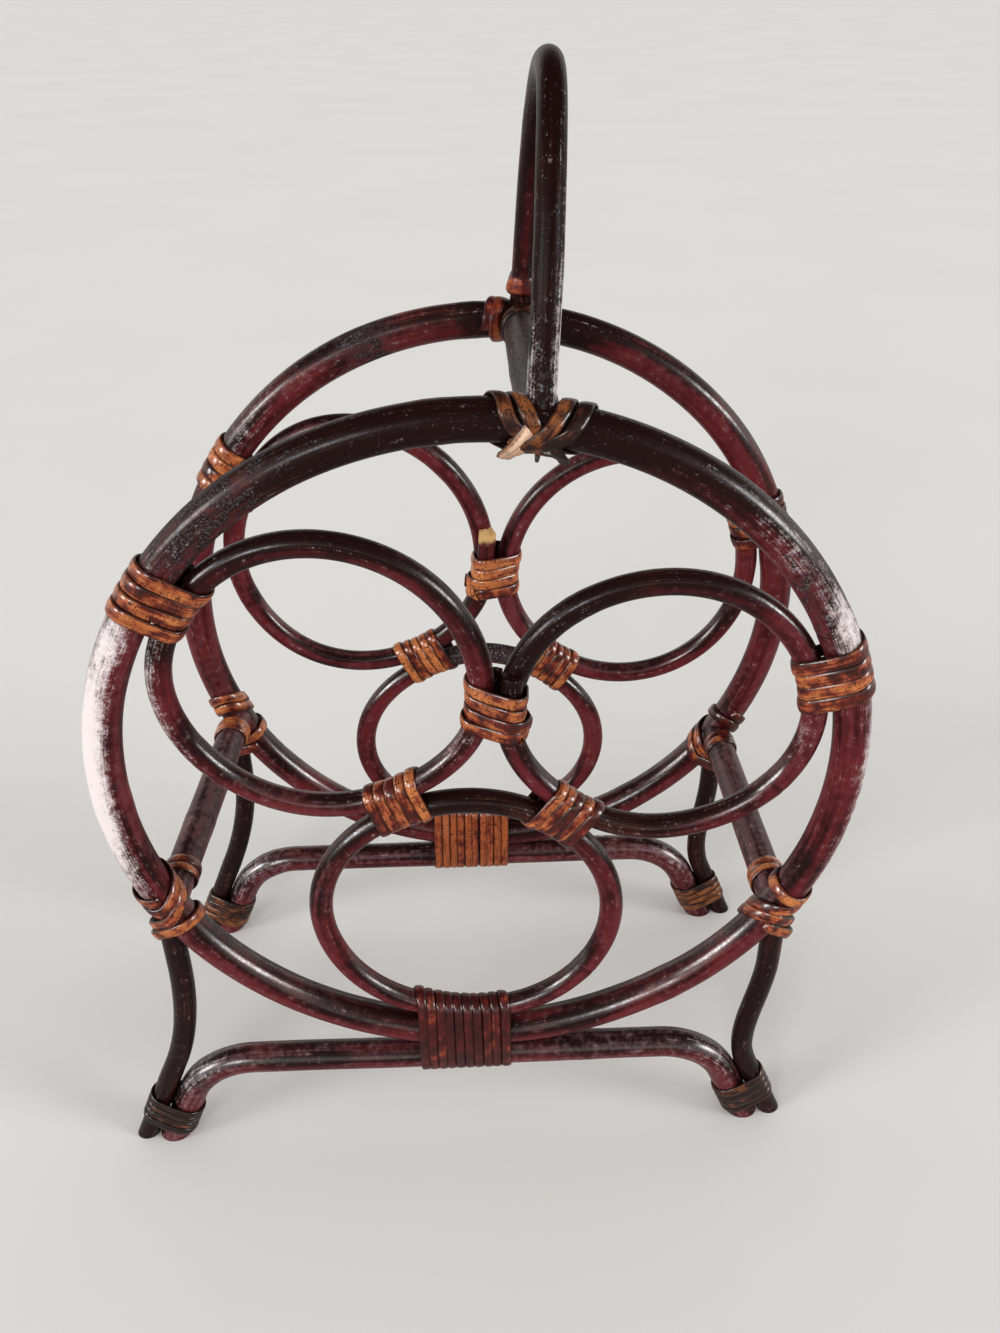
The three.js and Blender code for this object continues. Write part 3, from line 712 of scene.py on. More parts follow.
def make_object(
    name: str,
    points: Array,
    faces: Sequence[Sequence[int]],
    carried: dict[str, Array],
) -> bpy.types.Object:
    """Make a smooth-shaded mesh object.

    Args:
        name: The piece's name.
        points: Its points in millimetres.
        faces: Its faces.
        carried: What each point carries for the finishes: numbers, or rows of three.

    Returns:
        The object, linked to the scene.
    """
    mesh = bpy.data.meshes.new(name)
    mesh.from_pydata((points * MM).tolist(), [], [list(f) for f in faces])
    for key, values in carried.items():
        kind, part = ("FLOAT_VECTOR", "vector") if values.ndim == 2 else ("FLOAT", "value")
        data = mesh.attributes.new(key, kind, "POINT").data
        data.foreach_set(part, values.astype(np.float32).ravel())
    mesh.polygons.foreach_set("use_smooth", [True] * len(mesh.polygons))
    mesh.update()
    made = bpy.data.objects.new(name, mesh)
    bpy.context.scene.collection.objects.link(made)
    return made


def ring_faces(rings: int, sides: int, closed: bool) -> list[tuple[int, ...]]:
    """Join rings of points with four-sided faces.

    Args:
        rings: How many rings.
        sides: Points in each.
        closed: Whether the last ring meets the first.

    Returns:
        The faces.
    """
    faces: list[tuple[int, ...]] = []
    for i in range(rings if closed else rings - 1):
        j = (i + 1) % rings
        for k in range(sides):
            m = (k + 1) % sides
            faces.append((i * sides + k, i * sides + m, j * sides + m, j * sides + k))
    return faces


@dataclass(frozen=True)
class Worn:
    """A worn stretch of a cane: where its middle is, as a share of its length, and how long."""

    share: float
    length: float
    amount: float


@dataclass(frozen=True)
class PaintedHighlight:
    """A painted highlight: a stretch painted pale on the side that faces a direction, where lamps
    would glint.
    """

    share: float
    length: float
    amount: float
    side: tuple[float, float, float]


@dataclass(frozen=True)
class Growth:
    """How natural cane varies: lengths in millimetres, changes as shares of its radius."""

    swell: float = 0.035
    swell_reach: float = 4.5
    ring: float = 0.03
    ring_reach: float = 0.9
    drift: float = 0.022
    drift_wave: float = 38.0
    oval: float = 0.018
    plain_end: float = 12.0
    groove_at: float = 1.2
    groove_width: float = 0.16
    little_wear: float = 0.12


@dataclass(frozen=True)
class Cut:
    """How the ends of a cane are cut: lengths in millimetres, turns in radians."""

    lip_share: float = 0.9
    lip_out: float = 0.45
    lid_out: float = 0.5
    reach: float = 5.0
    fade: float = 1.5
    slant: float = 1.3
    slant_at: float = 0.8
    ragged: float = 0.5
    ragged_waves: int = 5


GROWTH = Growth()
CUT = Cut()
CANE_STEP = 2.0
SEEDS_APART = 997


@dataclass
class Cane:
    """A round cane along a line."""

    name: str
    points: Array
    radius: float
    slot: Slot
    seed: float
    closed: bool = False
    sides: int = 20
    worn: tuple[Worn, ...] = ()
    painted_shade_spots: tuple[Worn, ...] = ()
    painted_highlights: tuple[PaintedHighlight, ...] = ()
    on_floor: bool = False
    shaved: float = 0.0
    shaved_share: float = 0.72
    pale_end: float = 0.0
    nodes_apart: float = 140.0
    wander: float = 0.35
    rim: float = 0.15

    def __post_init__(self) -> None:
        """Give the line its wander and even steps."""
        self.points = wobbled(resampled(self.points, CANE_STEP), self.seed, self.wander)

    def _joints(self, length: float) -> list[float]:
        """Place the cane's natural joints.

        Args:
            length: The cane's length.

        Returns:
            Their distances from the start.
        """
        places = []
        at = self.nodes_apart * (0.35 + 0.3 * abs(sway(1.7, self.seed, 1.0)))
        while at < length - GROWTH.plain_end:
            places.append(at)
            at += self.nodes_apart * (1 + 0.35 * sway(at, self.seed, 40.0))
        return places

    def _girth(self, along: Array) -> tuple[Array, Array]:
        """Give the cane's thickness and its natural joints.

        Args:
            along: Each point's distance from the start.

        Returns:
            The radius at each point, and how near each is to a natural joint.
        """
        near = np.zeros(len(along))
        swell = np.zeros(len(along))
        for place in self._joints(along[-1]):
            swell += bell(along - place, GROWTH.swell_reach)
            near += bell(along - place, GROWTH.ring_reach)
        drift = np.array([sway(s, self.seed + 3, GROWTH.drift_wave) for s in along])
        changes = GROWTH.drift * drift + GROWTH.swell * swell - GROWTH.ring * near
        girth = self.radius * (1 + changes)
        if self.shaved:
            left = along[-1] - along
            girth *= 1 - (1 - self.shaved_share) * np.clip(1 - left / self.shaved, 0, 1) ** 0.5
        return girth, np.clip(near, 0, 1)

    def _spots(self, along: Array, spots: Sequence[Union[Worn, PaintedHighlight]]) -> Array:
        """Add up what a number of spots do.

        Args:
            along: Each point's distance from the start.
            spots: The spots.

        Returns:
            The sum at each point.
        """
        total = np.zeros(len(along))
        for spot in spots:
            distance = np.abs(along - spot.share * along[-1])
            if self.closed:
                distance = np.minimum(distance, along[-1] - distance)
            total += spot.amount * bell(distance, spot.length / 2)
        return total

    def _frames(self) -> tuple[Array, Array]:
        """Find two directions across the cane, square to each other, at each point.

        Returns:
            The first and the second direction, a row for each point.
        """
        if self.closed:
            ahead = np.roll(self.points[:-1], -1, axis=0) - np.roll(self.points[:-1], 1, axis=0)
            ahead = unit(np.concatenate([ahead, ahead[:1]]))
        else:
            ahead = unit(np.gradient(self.points, axis=0))
        start = AXIS_Y if abs(ahead[0] @ AXIS_Y) < 0.8 else AXIS_X
        first = np.empty_like(ahead)
        side = start
        for i, forward in enumerate(ahead):
            side = unit(side - forward * (side @ forward))
            first[i] = side
        return first, np.cross(ahead, first)

    def _cut_end(self, rings: Array, along: Array, theta: Array) -> tuple[Array, Array]:
        """Cut the last end ragged.

        Args:
            rings: The points by ring.
            along: Each ring's distance from the start.
            theta: The angle of each point round its ring.

        Returns:
            The rings, and how much of the pale core each point shows.
        """
        left = along[-1] - along
        slant = CUT.slant * np.cos(theta - CUT.slant_at)
        slant = slant + CUT.ragged * np.cos(CUT.ragged_waves * theta + self.seed)
        ahead = unit(self.points[-1] - self.points[-2])
        moved = np.clip(1 - left / CUT.reach, 0, 1)[:, None] * slant
        shown = np.clip((CUT.reach - left[:, None] + slant) / CUT.fade, 0, 1)
        return rings + ahead * moved[..., None], shown * self.pale_end

    def build(self) -> bpy.types.Object:
        """Make the cane's mesh.

        Returns:
            The piece.
        """
        along = distances(self.points)
        girth, near = self._girth(along)
        across, upward = self._frames()
        theta = np.linspace(0, TAU, self.sides, endpoint=False)
        out = 1 + GROWTH.oval * np.cos(2 * theta + self.seed)
        c, s = np.cos(theta) * out, np.sin(theta) * out
        rims = across[:, None] * c[None, :, None] + upward[:, None] * s[None, :, None]
        rings = self.points[:, None] + rims * girth[:, None, None]
        shape = (len(along), self.sides)
        # Painted highlights: each stretch is painted pale on the side that faces its direction
        rub = np.zeros(shape)
        for spot in self.painted_highlights:
            turned = np.clip(rims @ unit(np.array(spot.side)), 0, 1) ** 2
            rub += self._spots(along, [spot])[:, None] * turned
        cut = np.zeros(shape)
        if self.pale_end:
            rings, cut = self._cut_end(rings, along, theta)
        beside = theta - GROWTH.groove_at
        far = along[:, None] + SEEDS_APART * self.seed
        straight = (far, girth[:, None] * c, girth[:, None] * s)
        carried = {
            "straight": np.stack([np.broadcast_to(v, shape) for v in straight], axis=2) * MM,
            "wear": (GROWTH.little_wear + self._spots(along, self.worn))[:, None],
            "ring": near[:, None],
            "groove": bell(np.sin(beside), GROWTH.groove_width) * (np.cos(beside) > 0),
            # Painted shade, stretch by stretch
            "soot": np.minimum(self._spots(along, self.painted_shade_spots), 1.0)[:, None],
            "rim": np.full(shape, self.rim),
            "cut": cut,
            "rub": rub,
        }
        count = len(along) - self.closed
        for key, values in carried.items():
            by_ring = values if values.ndim == 3 else np.broadcast_to(values, shape)
            carried[key] = by_ring[:count].reshape(count * self.sides, *by_ring.shape[2:])
        points = rings[:count].reshape(-1, 3)
        faces = ring_faces(count, self.sides, self.closed)
        if not self.closed:
            points, faces, carried = self._capped(points, faces, carried, rings, count)
        piece = make_object(self.name, points, faces, carried)
        if self.on_floor:
            stand_on_floor(piece)
        return piece

    def _capped(
        self,
        points: Array,
        faces: list[tuple[int, ...]],
        carried: dict[str, Array],
        rings: Array,
        count: int,
    ) -> tuple[Array, list[tuple[int, ...]], dict[str, Array]]:
        """Close both ends with a slightly rounded cut.

        Args:
            points: The tube's points.
            faces: The tube's faces.
            carried: What its points carry.
            rings: The points by ring.
            count: The number of rings.

        Returns:
            The points, faces and carried values with the ends added.
        """
        for end, inner in ((0, 1), (count - 1, count - 2)):
            centre = rings[end].mean(axis=0)
            outward = unit(centre - rings[inner].mean(axis=0))
            lip = centre + (rings[end] - centre) * CUT.lip_share + outward * CUT.lip_out
            base = len(points)
            points = np.concatenate([points, lip, [centre + outward * CUT.lid_out]])
            first = end * self.sides
            for k in range(self.sides):
                m = (k + 1) % self.sides
                rim = (first + k, first + m, base + m, base + k)
                lid = (base + k, base + m, base + self.sides)
                faces.extend(tuple(reversed(f)) if end == 0 else f for f in (rim, lid))
            pale = self.pale_end if end else 0.0
            extra = self.sides + 1
            for key, values in carried.items():
                source = values[first : first + self.sides]
                lipped = np.concatenate([source, source[:1]])
                carried[key] = np.concatenate([values, lipped])
            carried["cut"][-extra:] = pale
        return points, faces, carried


def stand_on_floor(piece: bpy.types.Object) -> None:
    """Cut a piece off flat where it meets the floor.

    Args:
        piece: The piece, which reaches below the floor.
    """
    work = bmesh.new()
    work.from_mesh(piece.data)
    everything = [*work.verts, *work.edges, *work.faces]
    bmesh.ops.bisect_plane(
        work, geom=everything, plane_co=(0, 0, 0), plane_no=(0, 0, 1), clear_inner=True
    )
    rim = [e for e in work.edges if e.is_boundary]
    bmesh.ops.holes_fill(work, edges=rim, sides=0)
    for face in work.faces:
        if face.normal.z < -0.99 and face.calc_center_median().z < 1e-5:
            face.smooth = False
    work.to_mesh(piece.data)
    work.free()


# Peel strips


@dataclass(frozen=True)
class Strip:
    """A strip of rattan peel and how it is wound."""

    width: float
    thick: float
    pitch: float
    turns: int


@dataclass(frozen=True)
class Joint:
    """A place where canes are bound, with directions along, across and inward of the bundle."""

    at: Array
    along: Array
    across: Array
    inward: Array


def flat(_: float) -> float:
    """Give no lift at any turn."""
    return 0.0


PROFILE = (
    (-1.0, -0.25), (-0.86, 0.22), (-0.45, 0.44), (0.0, 0.5), (0.45, 0.44), (0.86, 0.22),
    (1.0, -0.25), (0.9, -0.5), (0.0, -0.5), (-0.9, -0.5),
)


@dataclass(frozen=True)
class Weave:
    """How strips vary and how windings are worked out: lengths in millimetres."""

    near: float = 70.0
    slab: float = 50.0
    slant: float = 1.5
    rims: tuple[float, ...] = (-0.4, 0.0, 0.4)
    ruffle: float = 0.12
    ruffle_wave: float = 0.35
    loose_wave: float = 0.8
    tuck: float = 0.4
    fray_out: float = 0.3
    fray_width: float = 0.75
    broad: float = 0.07
    broad_wave: float = 16.0
    rough: float = 0.05
    rough_wave: float = 4.0
    tone: float = 0.5
    tone_by_turn: float = 0.7
    tone_along: float = 0.55
    tone_wave: float = 22.0
    turns_apart: float = 3.1
    turn_wave: float = 1.3
    seeds_apart: float = 613.0


WEAVE = Weave()


@dataclass
class Winding:
    """One unbroken strip wound round a bundle of canes."""

    name: str
    canes: Sequence[Cane]
    joint: Joint
    strip: Strip
    slot: Slot
    seed: float
    first: float
    last: float
    station: Callable[[float], float]
    lift: Callable[[float], float] = flat
    seat: float = 0.15
    steps: int = 40
    shingle: float = 5.0
    stain: float = 0.0
    bundle: float = 24.0
    frayed: float = 0.0
    loose: float = 0.3
    near: list[tuple[Array, Array, Array, float]] = field(default_factory=list)

    def __post_init__(self) -> None:
        """Note each cane's course near the joint."""
        for cane in self.canes:
            offset = cane.points - self.joint.at
            close = np.linalg.norm(offset, axis=1) < WEAVE.near
            a, u, v = (offset @ d for d in (self.joint.along, self.joint.across, self.joint.inward))
            a = np.where(close, a, 1e6)
            self.near.append((a, u, v, cane.radius))

    def _sections(self, distance: float) -> list[tuple[float, float, float]]:
        """Cut the bundle across.

        Args:
            distance: Where along the joint.

        Returns:
            The place and radius of each cane in the cut.
        """
        found = []
        for a, u, v, radius in self.near:
            b = a - distance
            passing = (b[:-1] * b[1:] <= 0) & (b[:-1] != b[1:]) & (np.abs(b[:-1]) < WEAVE.slab)
            for i in np.nonzero(passing)[0]:
                t = b[i] / (b[i] - b[i + 1])
                across, inward = u[i] + t * (u[i + 1] - u[i]), v[i] + t * (v[i + 1] - v[i])
                rise = abs(b[i + 1] - b[i])
                run = math.hypot(u[i + 1] - u[i], v[i + 1] - v[i], rise)
                if math.hypot(across, inward) < self.bundle:
                    found.append((across, inward, radius * min(run / rise, WEAVE.slant)))
        return found

    def _reach(self, turn: float) -> float:
        """Give how far the bundle reaches out, over the strip's width.

        Args:
            turn: The turn, whose part of a whole one is the angle.

        Returns:
            The distance from the joint's middle.
        """
        c, s = math.cos(TAU * turn), math.sin(TAU * turn)
        middle = self.station(turn)
        rims = [
            x * c + y * s + r
            for shift in WEAVE.rims
            for x, y, r in self._sections(middle + shift * self.strip.width)
        ]
        return max(rims) + self.seat + self.strip.thick / 2

    def _line(self) -> tuple[Array, Array, Array]:
        """Lay the strip over the bundle.

        Returns:
            Its middle line, its outward directions and its turns.
        """
        count = round(abs(self.last - self.first) * self.steps)
        turns = np.linspace(self.first, self.last, count + 1)
        half = (turns[1] - turns[0]) / 2
        probes = np.array([self._reach(t) for t in np.append(turns - half, turns[-1] + half)])
        points, normals = [], []
        for i, turn in enumerate(turns):
            before, after = probes[i], probes[i + 1]
            out = (before + after) / (2 * math.cos(TAU * half))
            aside = (after - before) / (2 * math.sin(TAU * half))
            c, s = math.cos(TAU * turn), math.sin(TAU * turn)
            normal = self.joint.across * c + self.joint.inward * s
            onward = self.joint.inward * c - self.joint.across * s
            wander = self.loose * sway(turn, self.seed, WEAVE.loose_wave)
            ruffle = WEAVE.ruffle * sway(turn, self.seed + 5, WEAVE.ruffle_wave) + self.lift(turn)
            points.append(
                self.joint.at
                + self.joint.along * (self.station(turn) + wander)
                + normal * (out + ruffle)
                + onward * aside
            )
            normals.append(normal)
        return np.array(points), np.array(normals), turns

    def build(self) -> bpy.types.Object:
        """Make the strip's mesh.

        Returns:
            The piece.
        """
        points, normals, turns = self._line()
        tuck = self.strip.width * WEAVE.tuck
        lead_in = points[0] + unit(points[0] - points[1]) * tuck - normals[0] * self.strip.thick
        ahead = unit(points[-1] - points[-2])
        lead_out = points[-1] + ahead * tuck - normals[-1] * self.strip.thick
        if self.frayed:
            lead_out = points[-1] + (ahead + normals[-1] * WEAVE.fray_out) * self.frayed
        points = np.concatenate([[lead_in], points, [lead_out]])
        normals = np.concatenate([normals[:1], normals, normals[-1:]])
        turns = np.concatenate([turns[:1], turns, turns[-1:]])
        return ribbon(
            self.name, points, normals, self.strip, self.seed, turns, self.shingle, self.stain,
            WEAVE.fray_width if self.frayed else 1.0,
        )


def ribbon(
    name: str,
    points: Array,
    normals: Array,
    strip: Strip,
    seed: float,
    turns: Array,
    shingle: float = 0.0,
    stain: float = 0.0,
    tip: float = 1.0,
) -> bpy.types.Object:
    """Make a strip of rattan peel with a rounded outer face along a line.

    Args:
        name: The piece's name.
        points: Its middle line.
        normals: Its outward direction at each point.
        strip: Its width and thickness.
        seed: Which of the random variations it gets.
        turns: The turn at each point, for the tone of the stain.
        shingle: How far it leans over the turn before, in degrees.
        stain: How much darker than its finish.
        tip: The share of its width at its last point.

    Returns:
        The object.
    """
    forward = unit(np.gradient(points, axis=0))
    breadth = unit(np.cross(forward, normals))
    outward = np.cross(breadth, forward)
    lean = math.radians(shingle)
    breadth, outward = (
        breadth * math.cos(lean) + outward * math.sin(lean),
        outward * math.cos(lean) - breadth * math.sin(lean),
    )
    along = distances(points)
    broad = np.array([sway(s, seed + 2, WEAVE.broad_wave) for s in along])
    rough = np.array([sway(s, seed + 4, WEAVE.rough_wave) for s in along])
    girth = 1 + WEAVE.broad * broad + WEAVE.rough * rough
    girth[-1] *= tip
    profile = np.array(PROFILE)
    b = profile[None, :, 0] * (girth * strip.width / 2)[:, None]
    n = np.broadcast_to(profile[None, :, 1] * strip.thick, b.shape)
    body = points[:, None] + breadth[:, None] * b[..., None] + outward[:, None] * n[..., None]
    sides = len(PROFILE)
    far = np.broadcast_to((along + WEAVE.seeds_apart * seed)[:, None], b.shape)
    whole = [math.floor(t + 0.5) * WEAVE.turns_apart for t in turns]
    by_turn = np.array([sway(w, seed, WEAVE.turn_wave) for w in whole])
    by_length = np.array([sway(s, seed + 8, WEAVE.tone_wave) for s in along])
    tone = WEAVE.tone + WEAVE.tone_by_turn * by_turn + WEAVE.tone_along * by_length + stain
    # Painted shade: darker towards the strip's edges and underside, in the seams between turns
    edge = np.where(profile[:, 1] <= -0.25, 1.0, np.abs(profile[:, 0]))
    carried = {
        "straight": np.stack([far, b, n], axis=2).reshape(-1, 3) * MM,
        "tone": np.repeat(tone, sides),
        "edge": np.tile(edge, len(points)),
    }
    faces = [tuple(reversed(f)) for f in ring_faces(len(points), sides, False)]
    faces.append(tuple(range(sides)))
    last = (len(points) - 1) * sides
    faces.append(tuple(last + k for k in reversed(range(sides))))
    return make_object(name, body.reshape(-1, 3), faces, carried)


# Measures of the rack


@dataclass(frozen=True)
class Sizes:
    """Cane diameters and the layout that both end frames share."""

    hoop: float = 15.0
    loop: float = 10.0
    leg: float = 10.0
    handle: float = 10.0
    stretcher: float = 14.0
    rail: float = 14.0
    bar: float = 15.0
    spacing: float = 137.0
    stretcher_height: float = 49.5
    stretcher_bend: float = 34.0
    foot_spread: float = 286.0
    foot_kick: float = 23.0
    foot_wrap_height: float = 17.5
    leg_below_rail: float = 4.0
    leg_top_straight: float = 22.0
    leg_foot_straight: tuple[float, float] = (50.0, 34.0)
    handle_rise: float = 102.0
    handle_lean: float = 3.2
    handle_flank: float = 66.0
    handle_tuck: float = 6.0
    handle_shoulder: float = 34.0
    lap: float = 8.0
    lap_step: float = 5.5
    seat: float = 0.3
    loop_seat: float = 0.45
    lashing: float = 1.75
    bar_rings: float = 12.5


SIZES = Sizes()


@dataclass(frozen=True)
class Binding:
    """Where two loops are bound: an angle round from +X, and a distance from the knot."""

    angle: float
    reach: float


@dataclass(frozen=True)
class EndShape:
    """How one end frame is bent. Angles are in degrees round the hoop from +X."""

    name: str
    side: int
    shift: float
    set_over: float
    hoop_radius: float
    wrap_left: float
    wrap_right: float
    wrap_bottom: float
    rail_left: float
    rail_right: float
    top: float
    knot: tuple[float, float]
    upper_fullness: float
    lower_fullness: float
    centre: Binding
    inner_left: Binding
    inner_right: Binding
    lapped: str
    lap_rise: float


FRONT = EndShape(
    name="front", side=-1, shift=0.0, set_over=13.5, hoop_radius=145.0,
    wrap_left=144.0, wrap_right=18.0, wrap_bottom=266.0, rail_left=205.3, rail_right=329.6,
    top=81.7, knot=(2.0, 2.0), upper_fullness=1.0, lower_fullness=1.03,
    centre=Binding(84.2, 30.6), inner_left=Binding(202.0, 38.5), inner_right=Binding(323.0, 37.5),
    lapped="right", lap_rise=6.0,
)
REAR = EndShape(
    name="rear", side=1, shift=4.5, set_over=16.0, hoop_radius=142.5,
    wrap_left=147.0, wrap_right=19.5, wrap_bottom=265.5, rail_left=204.3, rail_right=327.2,
    top=83.8, knot=(1.0, -10.2), upper_fullness=1.04, lower_fullness=1.18,
    centre=Binding(85.6, 32.0), inner_left=Binding(205.5, 36.5), inner_right=Binding(324.6, 37.0),
    lapped="left", lap_rise=12.0,
)

HOOP_STRIP = Strip(6.3, 1.25, 6.0, 4)
CENTRE_STRIP = Strip(5.7, 1.2, 5.3, 4)
INNER_STRIP = Strip(4.8, 1.1, 4.5, 5)
BOTTOM_STRIP = Strip(4.3, 1.1, 4.1, 10)
FOOT_STRIP = Strip(4.6, 1.1, 4.3, 4)
COLLAR_STRIP = Strip(4.9, 1.1, 4.7, 2)
LASHING_STRIP = Strip(5.3, 1.2, 5.6, 4)
CROSS_STRIP = Strip(5.4, 1.2, 5.9, 4)
TOP_STRIP = Strip(5.2, 1.2, 2.9, 4)
RING_STRIP = Strip(2.4, 1.1, 2.5, 3)
HANDLE_STRIP = Strip(8.2, 1.2, 0.6, 1)


class EndFrame:
    """One end of the rack: a hoop with three loops on a foot stretcher and two legs."""

    def __init__(self, shape: EndShape, shop: Workshop) -> None:
        """Place the frame where the CAD hoop stands.

        Args:
            shape: How it is bent.
            shop: Where its finishes come from.
        """
        self.shape = shape
        self.shop = shop
        low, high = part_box(f"{shape.name}_hoop")
        self.centre = (np.array(low) + np.array(high)) / 2 / MM
        self.y = float(self.centre[1])
        self.base_x = float(self.centre[0]) - shape.set_over
        self.inward = AXIS_Y * -shape.side
        self.knot = self.centre + AXIS_X * shape.knot[0] + AXIS_Z * shape.knot[1]
        self.seed = 1.0 if shape.side < 0 else 2.0
        self.hoop = self._hoop()
        self.loops = self._loops()
        self.stretcher = self._stretcher()
        self.legs = [self._leg(side) for side in (-1, 1)]

    def on_hoop(self, degrees: float, radius: Optional[float] = None) -> Array:
        """Give a point at an angle round the hoop."""
        return self.centre + spoke(degrees) * (self.shape.hoop_radius if radius is None else radius)

    def _hoop(self) -> Cane:
        """Lay out the hoop, starting under the bottom wrap.

        Returns:
            The hoop.
        """
        start = self.shape.wrap_bottom
        line = np.array([self.on_hoop(start + a) for a in np.linspace(0, 360, 361)])

        def share(degrees: float) -> float:
            """Give an angle as a share of the way round."""
            return ((degrees - start) % 360) / 360

        if self.shape.side < 0:
            # Real chips at the upper left; the worn stretches at 32 degrees and on the left side
            # also lighten the lacquer with dust where highlights fall, partly a painted highlight
            worn = (Worn(share(129), 80, 1.3), Worn(share(32), 60, 0.8), Worn(0.76, 70, 0.4))
            # Painted shade over the top of the hoop
            top = Worn(share(self.shape.top + 8), 180, 0.75)
            # Painted highlights: pale stretches on the hoop's left and right sides
            painted_highlights = (
                PaintedHighlight(share(176), 120, 1.7, (-0.62, -0.78, 0.1)),
                PaintedHighlight(share(152), 20, 0.5, (-0.3, -0.9, 0.4)),
                PaintedHighlight(share(42), 50, 0.3, (0.2, -0.9, 0.4)),
                PaintedHighlight(share(26), 34, 0.85, (0.45, -0.85, 0.3)),
                PaintedHighlight(share(352), 130, 0.95, (0.97, -0.2, 0.1)),
            )
        else:
            worn = (Worn(share(111), 24, 1.3), Worn(0.8, 80, 0.4))
            # Painted shade over the top of the hoop
            top = Worn(share(self.shape.top), 60, 0.7)
            # A painted highlight on the hoop's upper left
            painted_highlights = (PaintedHighlight(share(140), 70, 0.35, (-0.2, -0.8, 0.6)),)
        return Cane(
            f"{self.shape.name}_hoop_cane", line, SIZES.hoop / 2, Slot.FRAME, self.seed,
            closed=True, sides=28, worn=worn, painted_shade_spots=(top,), painted_highlights=painted_highlights, nodes_apart=210.0,
        )

    def _binding_pass(self, binding: Binding, side: int, heading: int) -> Pass:
        """Give where a loop passes a binding.

        Args:
            binding: The binding.
            side: -1 for its clockwise side, 1 for its anticlockwise side.
            heading: -1 towards the knot, 1 away from it.

        Returns:
            The place and heading.
        """
        half = (SIZES.loop + SIZES.seat) / 2
        at = self.knot + spoke(binding.angle) * binding.reach + tangent(binding.angle) * side * half
        return Pass(at, spoke(binding.angle) * heading)

    def _loop_line(
        self, hoop_angle: float, inner: Binding, outer: Binding, fullness: float
    ) -> list[Array]:
        """Give a loop's three bends.

        Args:
            hoop_angle: Where it touches the hoop.
            inner: The binding that it comes to first.
            outer: The binding after that.
            fullness: How round its outer bends are.

        Returns:
            The bends: hoop to knot, round the knot, and back to the hoop.
        """
        radius = self.shape.hoop_radius - SIZES.hoop / 2 - SIZES.loop_seat - SIZES.loop / 2
        touch = Pass(self.on_hoop(hoop_angle, radius), tangent(hoop_angle))
        going_in = self._binding_pass(inner, -1, -1)
        coming_out = self._binding_pass(outer, 1, 1)
        return [
            bend(touch, going_in, fullness),
            bend(going_in, coming_out),
            bend(coming_out, touch, fullness),
        ]

    def _loops(self) -> dict[str, Cane]:
        """Lay out the three loops.

        Returns:
            The loops by name: left, right and lower.
        """
        shape = self.shape
        routes = {
            "left": (shape.wrap_left, shape.inner_left, shape.centre),
            "right": (shape.wrap_right, shape.centre, shape.inner_right),
            "lower": (shape.wrap_bottom, shape.inner_right, shape.inner_left),
        }
        loops = {}
        rear = shape.side > 0
        # Painted shade on the loops' tops and other stretches that look dark
        painted_shade_spots = {
            "left": (Worn(0.02, 30, 0.6), Worn(0.87, 110, 0.35)),
            "right": (Worn(1.0, 60, 1.0), Worn(0.08, 130, 0.8), Worn(0.75, 50, 0.6)),
            "lower": (Worn(0.5, 90, 0.75),),
        }
        middles = {"left": 0.3, "right": 0.5, "lower": 0.7}
        worn = {name: Worn(middle, 40, 0.3) for name, middle in middles.items()}
        # Painted highlights on the front loops' flanks
        painted_highlights = {
            "left": (PaintedHighlight(0.1, 70, 0.6, (-0.8, -0.6, 0.1)), PaintedHighlight(0.57, 40, 0.6, (-0.6, -0.5, 0.6))),
            "right": (PaintedHighlight(0.47, 40, 0.6, (-0.6, -0.5, 0.6)),),
            "lower": (),
        }
        if rear:
            painted_shade_spots["right"] = painted_shade_spots["lower"] = ()
            worn["lower"] = Worn(0.5, 44, 1.8)
            painted_highlights = {"left": (), "right": (), "lower": ()}
        for i, (name, (angle, inner, outer)) in enumerate(routes.items()):
            fullness = shape.lower_fullness if name == "lower" else shape.upper_fullness
            bends = self._loop_line(angle, inner, outer, fullness)
            lapped = name == shape.lapped
            ring = joined(*bends)
            loops[name] = Cane(
                f"{shape.name}_{name}_loop_cane", self._lapped(ring, name) if lapped else ring,
                SIZES.loop / 2, Slot.FRAME, self.seed + 0.13 * (i + 1), closed=not lapped,
                sides=22, nodes_apart=150.0, worn=(worn[name],), painted_shade_spots=painted_shade_spots[name],
                painted_highlights=painted_highlights[name], wander=0.5,
                shaved=34.0 if lapped else 0.0, shaved_share=SIZES.lap / SIZES.loop,
                pale_end=1.0 if shape.side > 0 else 0.0,
            )
        return loops

    def _lapped(self, ring: Array, name: str) -> Array:
        """Open a loop at the centre binding, with one end in front of the other.

        Args:
            ring: The closed loop.
            name: Which loop it is.

        Returns:
            The line from the end inside the wrap, round the loop, to the end that stands out.
        """
        along = spoke(self.shape.centre.angle)
        at = self._binding_pass(self.shape.centre, 1 if name == "left" else -1, 1).at
        ring = resampled(ring, 1.0)[:-1]
        start = int(np.argmin(np.linalg.norm(ring - at, axis=1)))
        ring = np.roll(ring, -start, axis=0)
        if (ring[1] - ring[0]) @ along < 0:
            ring = np.roll(ring[::-1], 1, axis=0)
        half = CENTRE_STRIP.turns * CENTRE_STRIP.pitch / 2
        inside = round(half)
        beside = at - AXIS_Y * SIZES.lap_step
        leaving = ring[-inside]
        lap = cubic(leaving, leaving + along * half / 2, beside - along * half / 2, beside, 12)
        tip = beside + along * (half + self.shape.lap_rise)
        return joined(ring[1 - inside :], ring[: 1 - inside], lap, straight_line(beside, tip))

